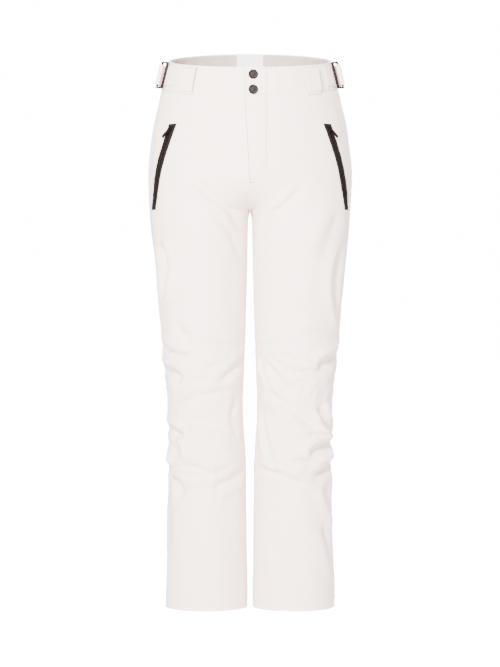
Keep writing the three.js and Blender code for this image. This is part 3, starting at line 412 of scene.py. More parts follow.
def sewing(side, u, height):
    """Grooves and puckers of all the seams of one half."""
    seed = 1.3 if side == "left" else 4.1
    below_band = smooth((band_foot(u) - height) / (2 * MM))
    side_seam = np.abs(u - 0.5) * RING
    centre = np.minimum(u, 1 - u) * RING
    is_fly = (u < 0.5) & (height > FLY_BOTTOM) | (np.abs(height - INSEAM) < CROTCH_RISE)
    total = groove(side_seam) + puckers(side_seam, height, seed)
    total = total + np.where(is_fly, 0, groove(centre) + 0.4 * puckers(centre, height, seed + 1))
    across = u * RING
    knee = np.abs(height - KNEE_SEAM)
    total = total + groove(knee) + 1.3 * puckers(knee, across, seed + 2)
    shin = np.abs(height - SHIN_SEAM)
    total = total + np.where(u < 0.5, groove(shin) + 1.2 * puckers(shin, across, seed + 3), 0)
    foot = np.abs(band_foot(u) - height)
    total = total + groove(foot) + 1.3 * puckers(foot, across, seed + 4)
    hem = np.abs(height - HEM_STITCH)
    total = total + 0.6 * groove(hem) + 0.8 * puckers(hem, across, seed + 5)
    zip_edge = zip_distance(u, height)
    total = total + np.where(zip_edge < 30 * MM, 0.7 * puckers(zip_edge, height, seed + 6), 0)
    return total * (0.35 + 0.65 * below_band)


def zip_line(height):
    """How far round the hip zip runs at a height."""
    h = np.clip(height, ZIP_FOOT[1], ZIP_HEAD[1])
    total = 0
    stations = (ZIP_FOOT, ZIP_MIDDLE, ZIP_HEAD)
    for u, own in stations:
        share = 1
        for _, other in stations:
            if other != own:
                share = share * (h - other) / (own - other)
        total = total + u * share
    return total


def zip_distance(u, height):
    over = np.maximum(np.maximum(height - ZIP_HEAD[1], ZIP_FOOT[1] - height), 0)
    beside = np.maximum(np.abs(u - zip_line(height)) * RING * SLOT_ROUND - SLOT_HALF, 0)
    return np.hypot(over, beside)


def skin(side, u, height, stand=0.0, folded=True):
    """Points that stand off the outer cloth of one half, as it hangs."""
    u, height = np.broadcast_arrays(np.asarray(u, float), np.asarray(height, float))
    off = stand + (relief(side, u, height) if folded else 0) + sewing(side, u, height)
    level = np.maximum(height, 1 * MM)
    points = surface(u, height) + outward(u, level) * off[..., None]
    points[..., 0] = np.maximum(points[..., 0], CENTRE_GAP)
    is_centre = (np.minimum(u, 1 - u) < 1.01 * EDGE) & (height > INSEAM)
    at_fly = (u < 0.5) & (height > FLY_FOOT)
    points[..., 0] = np.where(is_centre & ~at_fly, SEAM_GAP, points[..., 0])
    points[..., 2] = np.maximum(height, 0) + HEM_Z + (points[..., 2] - height - HEM_Z) * smooth(
        height / (20 * MM)
    )
    return points


# ---- closed cloth meshes ------------------------------------------------------------------------
BOX_FACES = np.array([
    [0, 2, 3, 1], [4, 5, 7, 6], [0, 1, 5, 4], [2, 6, 7, 3], [0, 4, 6, 2], [1, 3, 7, 5],
])


def new_mesh(name, points, faces, uv=None, mirror=False):
    """A mesh object at the origin. A mirrored one belongs to the wearer's right."""
    points = np.array(points, float).reshape(-1, 3)
    faces = np.array(faces)
    used, faces = np.unique(faces, return_inverse=True)
    faces = faces.reshape(-1, 4)
    points = points[used]
    if mirror:
        points[:, 0] *= -1
        faces = faces[:, ::-1]
    mesh = bpy.data.meshes.new(name)
    mesh.from_pydata(points.tolist(), [], faces.tolist())
    if uv is not None:
        layer = mesh.uv_layers.new(name="cloth")
        corners = np.array(uv, float).reshape(-1, 2)[used][faces.ravel()]
        layer.data.foreach_set("uv", corners.ravel())
    mesh.update()
    obj = bpy.data.objects.new(name, mesh)
    bpy.context.collection.objects.link(obj)
    return obj


def select_only(*objs):
    bpy.ops.object.select_all(action="DESELECT")
    for o in objs:
        o.select_set(True)
    bpy.context.view_layer.objects.active = objs[0]


def soften(obj, degrees=50):
    select_only(obj)
    bpy.ops.object.shade_smooth_by_angle(angle=math.radians(degrees))


def closed_cloth(name, outer, inner, uv, keep=None, mirror=False, wrap=False):
    """A closed sheet between two grids of points. Faces that aren't kept leave a hole."""
    columns, rows = outer.shape[:2]
    count = columns * rows
    at = np.arange(count).reshape(columns, rows)
    if wrap:
        at = np.concatenate([at, at[:1]])
    if keep is None:
        keep = np.ones((at.shape[0] - 1, rows - 1), bool)
    a, b, c, d = at[:-1, :-1], at[1:, :-1], at[1:, 1:], at[:-1, 1:]
    faces = [np.stack([a, b, c, d], -1)[keep], np.stack([a, d, c, b], -1)[keep] + count]
    padded = np.pad(keep, 1)
    if wrap:
        padded[0], padded[-1] = padded[-2], padded[1]
    sides = (
        (a, b, padded[1:-1, :-2]), (b, c, padded[2:, 1:-1]),
        (c, d, padded[1:-1, 2:]), (d, a, padded[:-2, 1:-1]),
    )
    for p, q, neighbour in sides:
        rim = keep & ~neighbour
        faces.append(np.stack([q[rim], p[rim], p[rim] + count, q[rim] + count], -1))
    points = np.concatenate([outer.reshape(-1, 3), inner.reshape(-1, 3)])
    both = np.concatenate([uv.reshape(-1, 2), uv.reshape(-1, 2)])
    obj = new_mesh(name, points, np.concatenate(faces), both, mirror)
    soften(obj)
    return obj


def spread(length, cell, fine=(0.6, 1.6, 3.0, 5.0)):
    """Grid lines as shares of a length, closer together at both ends."""
    ends = np.array([f * MM for f in fine if f * MM < length * 0.4])
    first = ends[-1] if len(ends) else 0
    steps = max(int(round((length - 2 * first) / cell)), 1)
    middle = np.linspace(first, length - first, steps + 1)
    lines = np.concatenate([[0], ends[:-1], middle, length - ends[:-1][::-1], [length]])
    return np.unique(np.round(lines / length, 9))


def crotch_rows():
    turn = np.linspace(0, np.pi / 2, 30)
    return INSEAM + CROTCH_RISE * (1 - np.cos(turn))


def merged(heights, extra, least=0.8 * MM):
    """Both lists of heights in order, without lines that almost touch; the first list stays whole."""
    heights = np.asarray(heights)
    between = [e for e in extra if heights[0] < e < heights[-1] and np.abs(heights - e).min() > least]
    return np.sort(np.concatenate([heights, between]))


def levels(bottom, top, cell):
    lines = bottom + (top - bottom) * spread(top - bottom, cell)
    turn = crotch_rows()
    if bottom < turn[-1] and top > turn[0]:
        lines = merged(lines, turn)
    return lines


def solve_grid(columns, rows, u_at, h_at, u_guess):
    """Grid of (u, height) where each may bend with the other."""
    u = np.broadcast_to(u_guess, (columns, rows)).copy()
    for _ in range(4):
        height = h_at(u)
        u = u_at(height)
    return u, h_at(u)


def cloth_uv(u, height):
    return np.stack([u * RING, height], axis=-1)


def shell_piece(name, side, u, height, thickness, keep=None, depth=0.0, folded=True):
    """Padded cloth over part of one half."""
    outer = skin(side, u, height, -depth, folded)
    inner = skin(side, u, height, -depth - thickness, folded)
    return closed_cloth(name, outer, inner, cloth_uv(u, height), keep, side == "right")


def flat_size(u, height):
    """Width and length of a piece of cloth before it is sewn, along the smooth body."""
    points = surface(u, height)
    across = np.linalg.norm(np.diff(points, axis=0), axis=-1).sum(0).mean()
    along = np.linalg.norm(np.diff(points, axis=1), axis=-1).sum(1).mean()
    return float(across), float(along)


def finish_sheet(obj, node, flat, material, body="root"):
    """Gives a sheet its finish and its place on the frame."""
    dress(obj, material)
    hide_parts(node)
    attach(obj, body)


# ---- fly outline --------------------------------------------------------------------------------
def fly_hinge(height):
    """Where the fly's outer seam runs: upright, then turning in to the centre at its foot."""
    t = np.clip((FLY_FOOT + FLY_CURVE - height) / FLY_CURVE, 0, 1)
    return FLY_HINGE * np.sqrt(np.maximum(1 - t**2, 0))


def fly_edge(height):
    """The flap's free edge, which slants in to the centre line."""
    t = np.clip((height - FLY_FOOT) / (FLY_TOP - FLY_FOOT), 0, 1)
    return FLY_EDGE * t


def u_at_x(x, height):
    return np.arcsin(np.clip(np.abs(x) / hip_half_width(height), 0, 1)) / np.pi


def front_start(side, height):
    """Where a front panel begins: at the centre seam below the fly, and beside the flap above."""
    gap = 0.4 * MM
    x = fly_hinge(height) + gap if side == "left" else gap - fly_edge(height)
    return np.where(height > FLY_FOOT, np.maximum(u_at_x(x, height), EDGE / 2), EDGE / 2)


# ---- leg panels ---------------------------------------------------------------------------------
def half_slot(height):
    step = 0.003
    u = zip_line(height)
    run = np.linalg.norm(surface(u + step, height) - surface(u - step, height), axis=-1)
    return SLOT_HALF / SLOT_ROUND * 2 * step / run


def thigh_grid(side, cell):
    """Columns follow the fly and both lips of the hip zip; rows end at the waistband."""
    shares = [(0, s) for s in spread(150 * MM, cell)[:-1]]
    shares += [(1, s) for s in (0, 0.5)]
    shares += [(2, s) for s in spread(60 * MM, cell)]
    section = np.array([k for k, _ in shares])
    share = np.array([s for _, s in shares])
    low = levels(KNEE_SEAM + SEAM_GAP, ZIP_FOOT[1], cell)
    slot = levels(ZIP_FOOT[1], ZIP_HEAD[1], cell)
    high = spread(75 * MM, cell)
    fixed = np.concatenate([low[:-1], slot[:-1]])
    rows = len(fixed) + len(high)

    def h_at(u):
        top = band_foot(u) - SEAM_GAP
        upper = ZIP_HEAD[1] + (top[:, len(fixed):] - ZIP_HEAD[1]) * high
        return np.concatenate([np.broadcast_to(fixed, (len(u), len(fixed))), upper], axis=1)

    def u_at(height):
        line, half = zip_line(height), half_slot(height)
        edges = [front_start(side, height), line - half, line + half, np.full_like(height, 0.5 - EDGE)]
        edges = np.stack(edges)
        column = np.arange(len(section))[:, None]
        row = np.arange(height.shape[1])[None, :]
        a = edges[section[:, None], column, row]
        b = edges[section[:, None] + 1, column, row]
        return a + (b - a) * share[:, None]

    guess = (section[:, None] + share[:, None]) / 3 * 0.5
    u, height = solve_grid(len(section), rows, u_at, h_at, guess)
    keep = np.ones((len(section) - 1, rows - 1), bool)
    slot_rows = slice(len(low) - 1, len(fixed))
    keep[np.ix_(section[:-1] == 1, np.arange(rows - 1)[slot_rows])] = False
    return u, height, keep


def value_at(value, place):
    """One value everywhere, or a function's value at the place."""
    return value(place) if callable(value) else np.full_like(place, value)


def plain_grid(u_from, u_to, bottom, top, cell):
    """Columns between two lines round the leg; either height may bend with the way round."""
    middle = np.array([(u_from + u_to) / 2])
    low, high = float(value_at(bottom, middle)[0]), float(value_at(top, middle)[0])
    lines = (levels(low, high, cell) - low) / (high - low)
    u = u_from + (u_to - u_from) * spread(abs(u_to - u_from) * RING, cell)
    u = np.broadcast_to(u[:, None], (len(u), len(lines)))
    foot = value_at(bottom, u)
    return u.copy(), foot + (value_at(top, u) - foot) * lines


def build_leg_panels(sizes):
    cell, thick = sizes.cell, sizes.shell_thickness
    gap = SEAM_GAP

    def top(u):
        return band_foot(u) - gap

    for side in SIDES:
        u, height, keep = thigh_grid(side, cell)
        pieces = [("front_thigh_panel", u, height, keep)]
        spans = [
            ("front_knee_panel", EDGE, 0.5 - EDGE, SHIN_SEAM + gap, KNEE_SEAM - gap),
            ("front_shin_panel", EDGE, 0.5 - EDGE, 0, SHIN_SEAM - gap),
            ("back_seat_panel", 0.5 + EDGE, 1 - EDGE / 2, KNEE_SEAM + gap, top),
            ("back_calf_panel", 0.5 + EDGE, 1 - EDGE, 0, KNEE_SEAM - gap),
        ]
        for name, start, end, low, high in spans:
            pieces.append((name, *plain_grid(start, end, low, high, cell), None))
        for name, u, height, keep in pieces:
            node = f"{name}_{side}"
            obj = shell_piece(f"{node}_cloth", side, u, height, thick, keep)
            finish_sheet(obj, node, flat_size(u, height), "shell cloth")


def build_leg_linings(sizes):
    cell = sizes.cell * 2
    for side in SIDES:
        u, height = plain_grid(0.004, 0.996, 34 * MM, lambda u: band_foot(u) - 2 * MM, cell)
        is_open = (height > FLY_BOTTOM) & (u_at_x(14 * MM, height) > u)
        u = np.where(is_open, u_at_x(14 * MM, height), u)
        depth, thick = LEG_LINING
        obj = shell_piece(f"leg_lining_{side}_cloth", side, u, height, thick, depth=depth)
        flat = flat_size(u, height)
        finish_sheet(obj, f"leg_lining_{side}", flat, "lining cloth")


def ring_grid(bottom, top, cell, columns):
    lines = bottom + (top - bottom) * spread(top - bottom, cell)
    u = np.arange(columns) / columns
    u, height = np.meshgrid(u, lines, indexing="ij")
    return u, height


def ring_piece(name, side, u, height, depth, thickness, ripple=0.0, ripples=0):
    """A closed band of cloth inside the leg, gathered into ripples."""
    wave = ripple * np.cos(2 * np.pi * u * ripples + 0.7 * np.sin(7 * 2 * np.pi * u))
    points = surface(u, height)
    inward = outward(u, np.maximum(height, MM))
    folds = relief(side, u, height)[..., None] * inward
    outer = points + folds + inward * (wave - depth)[..., None]
    inner = points + folds + inward * (wave - depth - thickness)[..., None]
    outer[..., 2] = inner[..., 2] = height + HEM_Z
    uv = cloth_uv(u, height)
    return closed_cloth(name, outer, inner, uv, mirror=side == "right", wrap=True)


def build_hems():
    for side in SIDES:
        u, height = ring_grid(1 * MM, 24 * MM, 3 * MM, 150)
        obj = ring_piece(f"hem_facing_{side}_cloth", side, u, height, *HEM_FACING)
        flat = (RING, 23 * MM)
        finish_sheet(obj, f"hem_facing_{side}", flat, "shell cloth")
        u, height = ring_grid(20 * MM, 215 * MM, 5 * MM, 480)
        obj = ring_piece(
            f"snow_gaiter_{side}_cloth", side, u, height, *SNOW_GAITER, 0.35 * MM, GATHERS
        )
        flat = (1.08 * RING, 195 * MM)
        finish_sheet(obj, f"snow_gaiter_{side}", flat, "gaiter cloth")
        u, height = ring_grid(20 * MM, 36 * MM, 2 * MM, 480)
        obj = ring_piece(
            f"gaiter_elastic_{side}_band", side, u, height, *GAITER_ELASTIC, 0.3 * MM, GATHERS
        )
        flat = (0.95 * RING, 16 * MM)
        finish_sheet(obj, f"gaiter_elastic_{side}", flat, "ribbed elastic")


def pocket_top(u):
    foot = INSEAM + CROTCH_RISE
    return foot + (band_foot(u) - foot) * 2 / 3


def build_pockets(sizes):
    for side in SIDES:
        foot = (3 * (INSEAM - 16 * MM) + KNEE_SEAM) / 4
        u, height = plain_grid(4 / COLUMNS, 8 / COLUMNS, foot, pocket_top, sizes.cell * 2)
        depth, thick = POCKET_BAG
        obj = shell_piece(f"pocket_bag_{side}_cloth", side, u, height, thick, depth=depth)
        flat = flat_size(u, height)
        finish_sheet(obj, f"pocket_bag_{side}", flat, "lining cloth")


# ---- fly ----------------------------------------------------------------------------------------
def front_grid(left, right, bottom, top, cell):
    """Grid over the centre front by distance from the centre line; returns x and heights."""
    columns = spread(40 * MM, cell)
    rows = spread(150 * MM if top is None else 48 * MM, cell)
    middle = np.full((len(columns), len(rows)), FRONT_AT)
    high = (band_foot(middle) - 0.15 * MM) if top is None else top(middle)
    low = value_at(bottom, middle)
    height = low + (high - low) * rows
    x0 = value_at(left, height)
    x1 = value_at(right, height)
    return x0 + (x1 - x0) * columns[:, None], height


def front_points(x, height, stand):
    """Points over the centre front, which is smooth there."""
    u = u_at_x(x, height)
    skin_out = outward(u, height)
    points = surface(u, height) + skin_out * np.asarray(stand)[..., None]
    points[..., 0] = x
    points[..., 2] = height + HEM_Z
    return points


def front_piece(name, x, height, depth, thickness, stand=0.0):
    """Cloth over the centre front, standing off it by the stand it is given."""
    stand = stand - depth
    outer = front_points(x, height, stand + np.zeros_like(x))
    inner = front_points(x, height, stand - thickness + np.zeros_like(x))
    return closed_cloth(name, outer, inner, np.stack([x, height], axis=-1))


def rim_distance(x, height, left, right, bottom, top):
    beside = np.minimum(np.abs(x - left), np.abs(right - x))
    return np.minimum(beside, np.minimum(np.abs(height - bottom), np.abs(top - height)))


def build_fly(sizes):
    gap = 0.2 * MM
    x, height = front_grid(
        lambda h: fly_edge(h) + gap, lambda h: np.maximum(fly_hinge(h), 2 * MM) - gap,
        FLY_FOOT + 1.5 * MM, None, sizes.cell * 0.8,
    )
    edge = rim_distance(x, height, fly_edge(height), fly_hinge(height), FLY_FOOT, height + 1)
    topstitch = np.abs(x - fly_hinge(height) + TOPSTITCH)
    top_seam = np.abs(band_foot(np.full_like(x, FRONT_AT)) - height)
    stand = 0.55 * groove(edge) + 0.5 * groove(topstitch) + groove(top_seam)
    stand = stand + 0.5 * puckers(topstitch, height, 2.0) + 0.7 * puckers(np.abs(x - 4 * MM), height, 5)
    lift = 1.1 * MM * np.exp(-(((x - fly_edge(height)) / (7 * MM)) ** 2))
    flap = front_piece("fly_flap_cloth", x, height, *FLY_FLAP, stand + lift)
    flat = (FLY_HINGE - FLY_EDGE, FLY_TOP - FLY_BOTTOM)
    finish_sheet(flap, "fly_flap", flat, "shell cloth", "fly_flap")
    x, height = front_grid(-22 * MM, 26 * MM, FLY_BOTTOM + 2 * MM, lambda u: band_foot(u) - 4 * MM, 4 * MM)
    rows = np.linspace(FLY_BOTTOM + 2 * MM, FLY_TOP - 4 * MM, x.shape[1])
    height = np.broadcast_to(rows, x.shape)
    shield = front_piece("fly_shield_cloth", x, height, *FLY_SHIELD, puckers(np.abs(x), height, 3))
    flat = (48 * MM, FLY_TOP - FLY_BOTTOM - 6 * MM)
    finish_sheet(shield, "fly_shield", flat, "shell cloth")


# ---- waistband ----------------------------------------------------------------------------------
def band_wave(u, height):
    """The band's own shape: full in the middle, drawn in at its rims, and slightly wavy."""
    foot = np.abs(height - band_foot(u))
    edge = np.abs(waist_edge(u) - height)
    across = u * RING
    wave = 0.45 * MM * np.sin(2 * np.pi * across / (37 * MM)) * np.sin(np.pi * foot / BAND_HEIGHT)
    total = 0.5 * groove(foot) + 0.6 * groove(edge) + wave
    for row in (BAND_STITCH, BAND_HEIGHT - BAND_STITCH):
        total = total + 0.55 * groove(np.abs(foot - row)) + 0.9 * puckers(np.abs(foot - row), across, row)
    return total


def band_points(u, height, stand, bend=1.0):
    off = stand + bend * band_wave(u, height)
    points = surface(u, height) + outward(u, height) * off[..., None]
    points[..., 2] = height + HEM_Z
    return points


def band_piece(name, side, u, height, depth, thickness, bend=1.0):
    outer = band_points(u, height, -depth, bend)
    inner = band_points(u, height, -depth - thickness, bend)
    return closed_cloth(name, outer, inner, cloth_uv(u, height), mirror=side == "right")


def back_band(name, u_from, bottom, top, depth, thickness, cell, bend=1.0):
    """One piece across the centre back."""
    lines = spread((1 - u_from) * RING * 2, cell)
    u = 1 - np.abs(2 * lines - 1) * (1 - u_from)
    sign = np.where(lines < 0.5, 1, -1) * np.where(np.abs(lines - 0.5) < 1e-6, 0, 1)
    rows = spread(BAND_HEIGHT, cell)
    u = np.broadcast_to(u[:, None], (len(u), len(rows)))
    height = bottom(u) + (top(u) - bottom(u)) * rows
    grids = []
    for off in (-depth, -depth - thickness):
        points = band_points(u, height, off, bend)
        points[..., 0] = (points[..., 0] - CENTRE_GAP) * sign[:, None]
        grids.append(points)
    uv = np.stack([np.broadcast_to((lines * 2 * (1 - u_from) * RING)[:, None], u.shape), height], -1)
    return closed_cloth(name, grids[0], grids[1], uv), u, height


def build_waistband(sizes):
    cell = sizes.cell

    def low(u):
        return band_foot(u) + 0.15 * MM

    for side in SIDES:
        columns = spread(230 * MM, cell)
        rows = spread(BAND_HEIGHT, cell)
        shape = (len(columns), len(rows))

        def h_at(u):
            return low(u) + (waist_edge(u) - low(u)) * rows

        def u_at(height):
            x = (FLY_HINGE if side == "left" else -FLY_EDGE) + 0.4 * MM
            start = u_at_x(x, height)
            return start + (0.5 - EDGE - start) * columns[:, None]

        u, height = solve_grid(*shape, u_at, h_at, columns[:, None] * 0.5)
        node = f"waistband_front_{side}"
        obj = band_piece(f"{node}_cloth", side, u, height, *BAND)
        finish_sheet(obj, node, flat_size(u, height), "shell cloth")
    obj, u, height = back_band("waistband_back_cloth", 0.5 + EDGE, low, waist_edge, *BAND, cell)
    half, tall = flat_size(u[: len(u) // 2 + 1], height[: len(u) // 2 + 1])
    finish_sheet(obj, "waistband_back", (2 * half, tall), "shell cloth")
    tab_x, tab_height = front_grid(
        FLY_EDGE + 0.2 * MM, FLY_HINGE - 0.2 * MM, low, waist_edge, cell * 0.8
    )
    u = u_at_x(tab_x, tab_height)
    tab_stand = band_wave(u, tab_height) + 0.5 * groove(np.abs(tab_x - FLY_EDGE - 4 * MM))
    for place in SNAP_HEIGHTS:
        around_snap = np.hypot(tab_x - SNAP_X, tab_height - place)
        tab_stand = tab_stand - 0.5 * MM * np.exp(-((around_snap / (13 * MM)) ** 2))
    tab = front_piece("waistband_overlap_tab_cloth", tab_x, tab_height, *BAND, tab_stand)
    flat = (FLY_HINGE - FLY_EDGE, BAND_HEIGHT)
    finish_sheet(tab, "waistband_overlap_tab", flat, "shell cloth", "fly_flap")
    x, height = front_grid(
        -16 * MM, 26 * MM, lambda u: band_foot(u) + 2 * MM, lambda u: waist_edge(u) - 3 * MM, cell
    )
    under = front_piece("waistband_underlap_tab_cloth", x, height, *UNDERLAP)
    finish_sheet(under, "waistband_underlap_tab", (42 * MM, 46 * MM), "shell cloth")


def build_waist_lining(sizes):
    cell = sizes.cell * 1.5

    def foot(u):
        return band_foot(u) + 1 * MM

    def edge(u):
        return waist_edge(u) - 2 * MM

    def patch_foot(u):
        return edge(u) - 42 * MM

    for side in SIDES:
        u, height = plain_grid(2 / COLUMNS, 0.5 - EDGE, foot, edge, cell)
        node = f"waistband_lining_front_{side}"
        obj = band_piece(f"{node}_cloth", side, u, height, *BAND_LINING)
        finish_sheet(obj, node, flat_size(u, height), "lining cloth")
    name = "waistband_lining_back"
    obj, u, height = back_band(f"{name}_cloth", 0.5 + EDGE, foot, edge, *BAND_LINING, cell)
    half, tall = flat_size(u[: len(u) // 2 + 1], height[: len(u) // 2 + 1])
    finish_sheet(obj, name, (2 * half, tall), "lining cloth")
    start = 1 - (0.5 - EDGE) * 2 / COLUMNS
    obj, _, _ = back_band("blank_inner_patch_cloth", start, patch_foot, edge, *INNER_PATCH, cell)
    finish_sheet(obj, "blank_inner_patch", (53 * MM, 42 * MM), "patch cloth")


# ---- placing matrices, as 4 x 4 arrays ----------------------------------------------------------
def basis(x, y, z, at):
    m = np.eye(4)
    m[:3, 0], m[:3, 1], m[:3, 2], m[:3, 3] = x, y, z, at
    return m


def move(m, points):
    return np.asarray(points, float) @ m[:3, :3].T + m[:3, 3]


def deep_point(u, height, depth):
    return surface(u, height) - outward(u, height) * depth


def hip_track():
    """The circular arc of the hip zip: a function from angle to place, and its end angles."""
    a, b, c = (deep_point(u, h, ZIP_DEPTH) for u, h in (ZIP_FOOT, ZIP_MIDDLE, ZIP_HEAD))
    ab, cb = a - b, c - b
    across = np.cross(ab, cb)
    middle = b + np.cross(cb * (ab @ ab) - ab * (cb @ cb), across) / (2 * across @ across)
    arm = b - middle
    radius = np.linalg.norm(arm)
    radial = arm / radius
    tangent = unit(np.cross(unit(np.cross(cb, ab)), radial))
    tangent = tangent if tangent[2] > 0 else -tangent
    out = outward(*ZIP_MIDDLE)
    out = unit(out - tangent * (out @ tangent))
    width = np.cross(out, tangent)
    spin = unit(np.cross(radial, tangent))
    start = basis(width, out, tangent, b)

    def place(angle):
        turn = np.eye(4)
        turn[:3, :3] = np.array(Matrix.Rotation(angle, 3, Vector(spin)))
        turn[:3, 3] = middle - turn[:3, :3] @ middle
        return turn @ start

    def angle_to(p):
        q = p - middle
        return math.atan2(q @ tangent, q @ radial)

    return place, radius, angle_to(a), angle_to(c)


FLY_ZIP_X = 4 * MM
FLY_ZIP_DEPTH = 12 * MM


def fly_track():
    ends = []
    for height in (FLY_BOTTOM + 12 * MM, FLY_TOP - 4 * MM):
        x = np.array([FLY_ZIP_X])
        ends.append(front_points(x, np.array([height]), np.array([-FLY_ZIP_DEPTH]))[0])
    low, high = ends
    up = unit(high - low)
    width = np.array([-1.0, 0, 0])
    out = unit(np.cross(up, width))
    return lambda t: basis(width, out, up, low + (high - low) * t), np.linalg.norm(high - low)


SLIDER_LENGTH = 10 * MM


# ---- zips ---------------------------------------------------------------------------------------
def stringer(name, places, side, mirror):
    """One side of a zip: a woven tape with a row of teeth along its inner edge."""
    across = side * np.array([0.7, 1.2, 2.6, 4.2, 5.7]) * MM
    across = np.sort(across)
    tape = [np.stack([across, np.full(5, y), np.zeros(5)], -1) for y in (0.35 * MM, -0.35 * MM)]
    outer = np.array([move(m, tape[0]) for m in places])
    inner = np.array([move(m, tape[1]) for m in places])
    lengths = np.linalg.norm(np.diff(outer[:, 2], axis=0), axis=1)
    along = np.concatenate([[0], np.cumsum(lengths)])
    uv = np.stack(np.meshgrid(along, across, indexing="ij"), -1)
    band = closed_cloth(f"{name}_tape", outer, inner, uv, mirror=mirror)
    corners = np.array([[x, y, z] for z in (-1, 1) for y in (-1, 1) for x in (-1, 1)], float)
    size = np.array([1.35, 0.62, 0.44]) * MM
    pitch = 1.5 * MM
    points, faces = [], []
    for k in range(int(along[-1] / pitch)):
        at = (k + (0.5 if side > 0 else 0.0)) * pitch + 0.4 * MM
        i = min(max(np.searchsorted(along, at) - 1, 0), len(places) - 2)
        t = (at - along[i]) / (along[i + 1] - along[i])
        m = places[i] + (places[i + 1] - places[i]) * t
        tooth = corners * size + np.array([side * 1.25 * MM, 0.75 * MM, 0])
        faces.append(BOX_FACES + 8 * len(points))
        points.append(move(m, tooth))
    points, faces = np.concatenate(points), np.concatenate(faces)
    teeth = new_mesh(f"{name}_teeth", points, faces, points[:, [2, 0]], mirror)
    return band, teeth


def place_all(objs, node, body, material):
    """Joins the parts of one piece and puts it on its body."""
    for o in objs:
        dress(o, material)
    select_only(*objs)
    if len(objs) > 1:
        bpy.ops.object.join()
    obj = bpy.context.view_layer.objects.active
    obj.name = obj.data.name = f"{node}_piece"
    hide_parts(node)
    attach(obj, body)


TRIM_WIDTH = {1: 3.6 * MM, -1: 2.0 * MM}  # beside the front lip and the back lip
TRIM_STANDS = (0.55 * MM, 0.05 * MM)  # its face and its back, off the shell
TRIM_NEAR, TRIM_NEAR_ENDS = 0.86, 0.02  # its inner edge, as a share of half the slot
PIVOT = (0, 3.5, 1.6)  # where a puller hangs on the slider's bridge, in millimetres
PULLER_LIFT, PULLER_SWAY = 11, 16  # degrees off the tape and aside
HIP_PULLER, FLY_PULLER = 24, 20  # lengths in millimetres


def bonded_trim(node, hand, side):
    """Dark tape bonded to the shell beside one lip of the hip zip and across its ends."""
    # It runs over the shell beyond each end of the slot, and covers the slot's own end.
    over, cover, step = 2.6 * MM, 1.6 * MM, 0.05 * MM
    foot, head = ZIP_FOOT[1] + cover, ZIP_HEAD[1] - cover
    rows = np.concatenate([
        [ZIP_FOOT[1] - over, ZIP_FOOT[1], foot - step], np.linspace(foot + step, head - step, 56),
        [head + step, ZIP_HEAD[1], ZIP_HEAD[1] + over],
    ])
    shares = np.array([0, 0.03, 0.08, 0.2, 0.4, 0.6, 0.8, 1])
    fall = np.array([-3.4, -1.6, 0, 0, 0, 0, 0, -0.2]) * MM
    u, height = np.meshgrid(shares, rows, indexing="ij")
    ends = (height < foot) | (height > head)
    fall = np.where(ends, 0, fall[:, None])
    line, half = zip_line(height), half_slot(height)
    near = np.where(ends, TRIM_NEAR_ENDS, TRIM_NEAR)
    wide = 1 + TRIM_WIDTH[hand] / SLOT_HALF
    span = near + (wide - near) * u
    u = line - hand * half * span
    if hand > 0:
        u, fall = u[::-1], fall[::-1]
    outer, inner = (skin(side, u, height, fall + stand) for stand in TRIM_STANDS)
    uv = cloth_uv(u, height)
    return closed_cloth(f"{node}_trim", outer, inner, uv, mirror=side == "right")


def zip_side(node, places, side, mirror, trim=()):
    band, teeth = stringer(node, places, side, mirror)
    dress(teeth, "zip teeth")
    for part in (band, *trim):
        dress(part, "zip tape")
    select_only(band, teeth, *trim)
    bpy.ops.object.join()
    band.name = band.data.name = f"{node}_piece"
    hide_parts(node)
    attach(band, "root")


def tidy_block(obj, width=0.25, segments=2, degrees=35):
    """Rounds the sharp edges of a modelled block."""
    select_only(obj)
    rounded = obj.modifiers.new("rounded edges", "BEVEL")
    rounded.width, rounded.segments = width * MM, segments
    rounded.limit_method, rounded.angle_limit = "ANGLE", math.radians(degrees)
    bpy.ops.object.modifier_apply(modifier=rounded.name)
    bpy.ops.object.shade_smooth_by_angle(angle=math.radians(40))
    return obj


def block(name, size, at):
    bpy.ops.object.select_all(action="DESELECT")
    bpy.ops.mesh.primitive_cube_add(size=1 * MM, location=[c * MM for c in at])
    obj = bpy.context.object
    obj.name = name
    obj.scale = size
    bpy.ops.object.transform_apply(location=True, rotation=True, scale=True)
    return obj


def cut_away(obj, cutter):
    select_only(obj)
    hole = obj.modifiers.new("opening", "BOOLEAN")
    hole.operation, hole.object, hole.solver = "DIFFERENCE", cutter, "EXACT"
    bpy.ops.object.modifier_apply(modifier=hole.name)
    select_only(cutter)
    bpy.ops.object.delete()
    return obj


def pick_faces(obj, wanted):
    """Goes into edit mode with only the wanted faces selected."""
    select_only(obj)
    bpy.ops.object.mode_set(mode="EDIT")
    bpy.ops.mesh.select_mode(type="FACE")
    bpy.ops.mesh.select_all(action="DESELECT")
    bpy.ops.object.mode_set(mode="OBJECT")
    for face in obj.data.polygons:
        face.select = wanted(face)
    bpy.ops.object.mode_set(mode="EDIT")


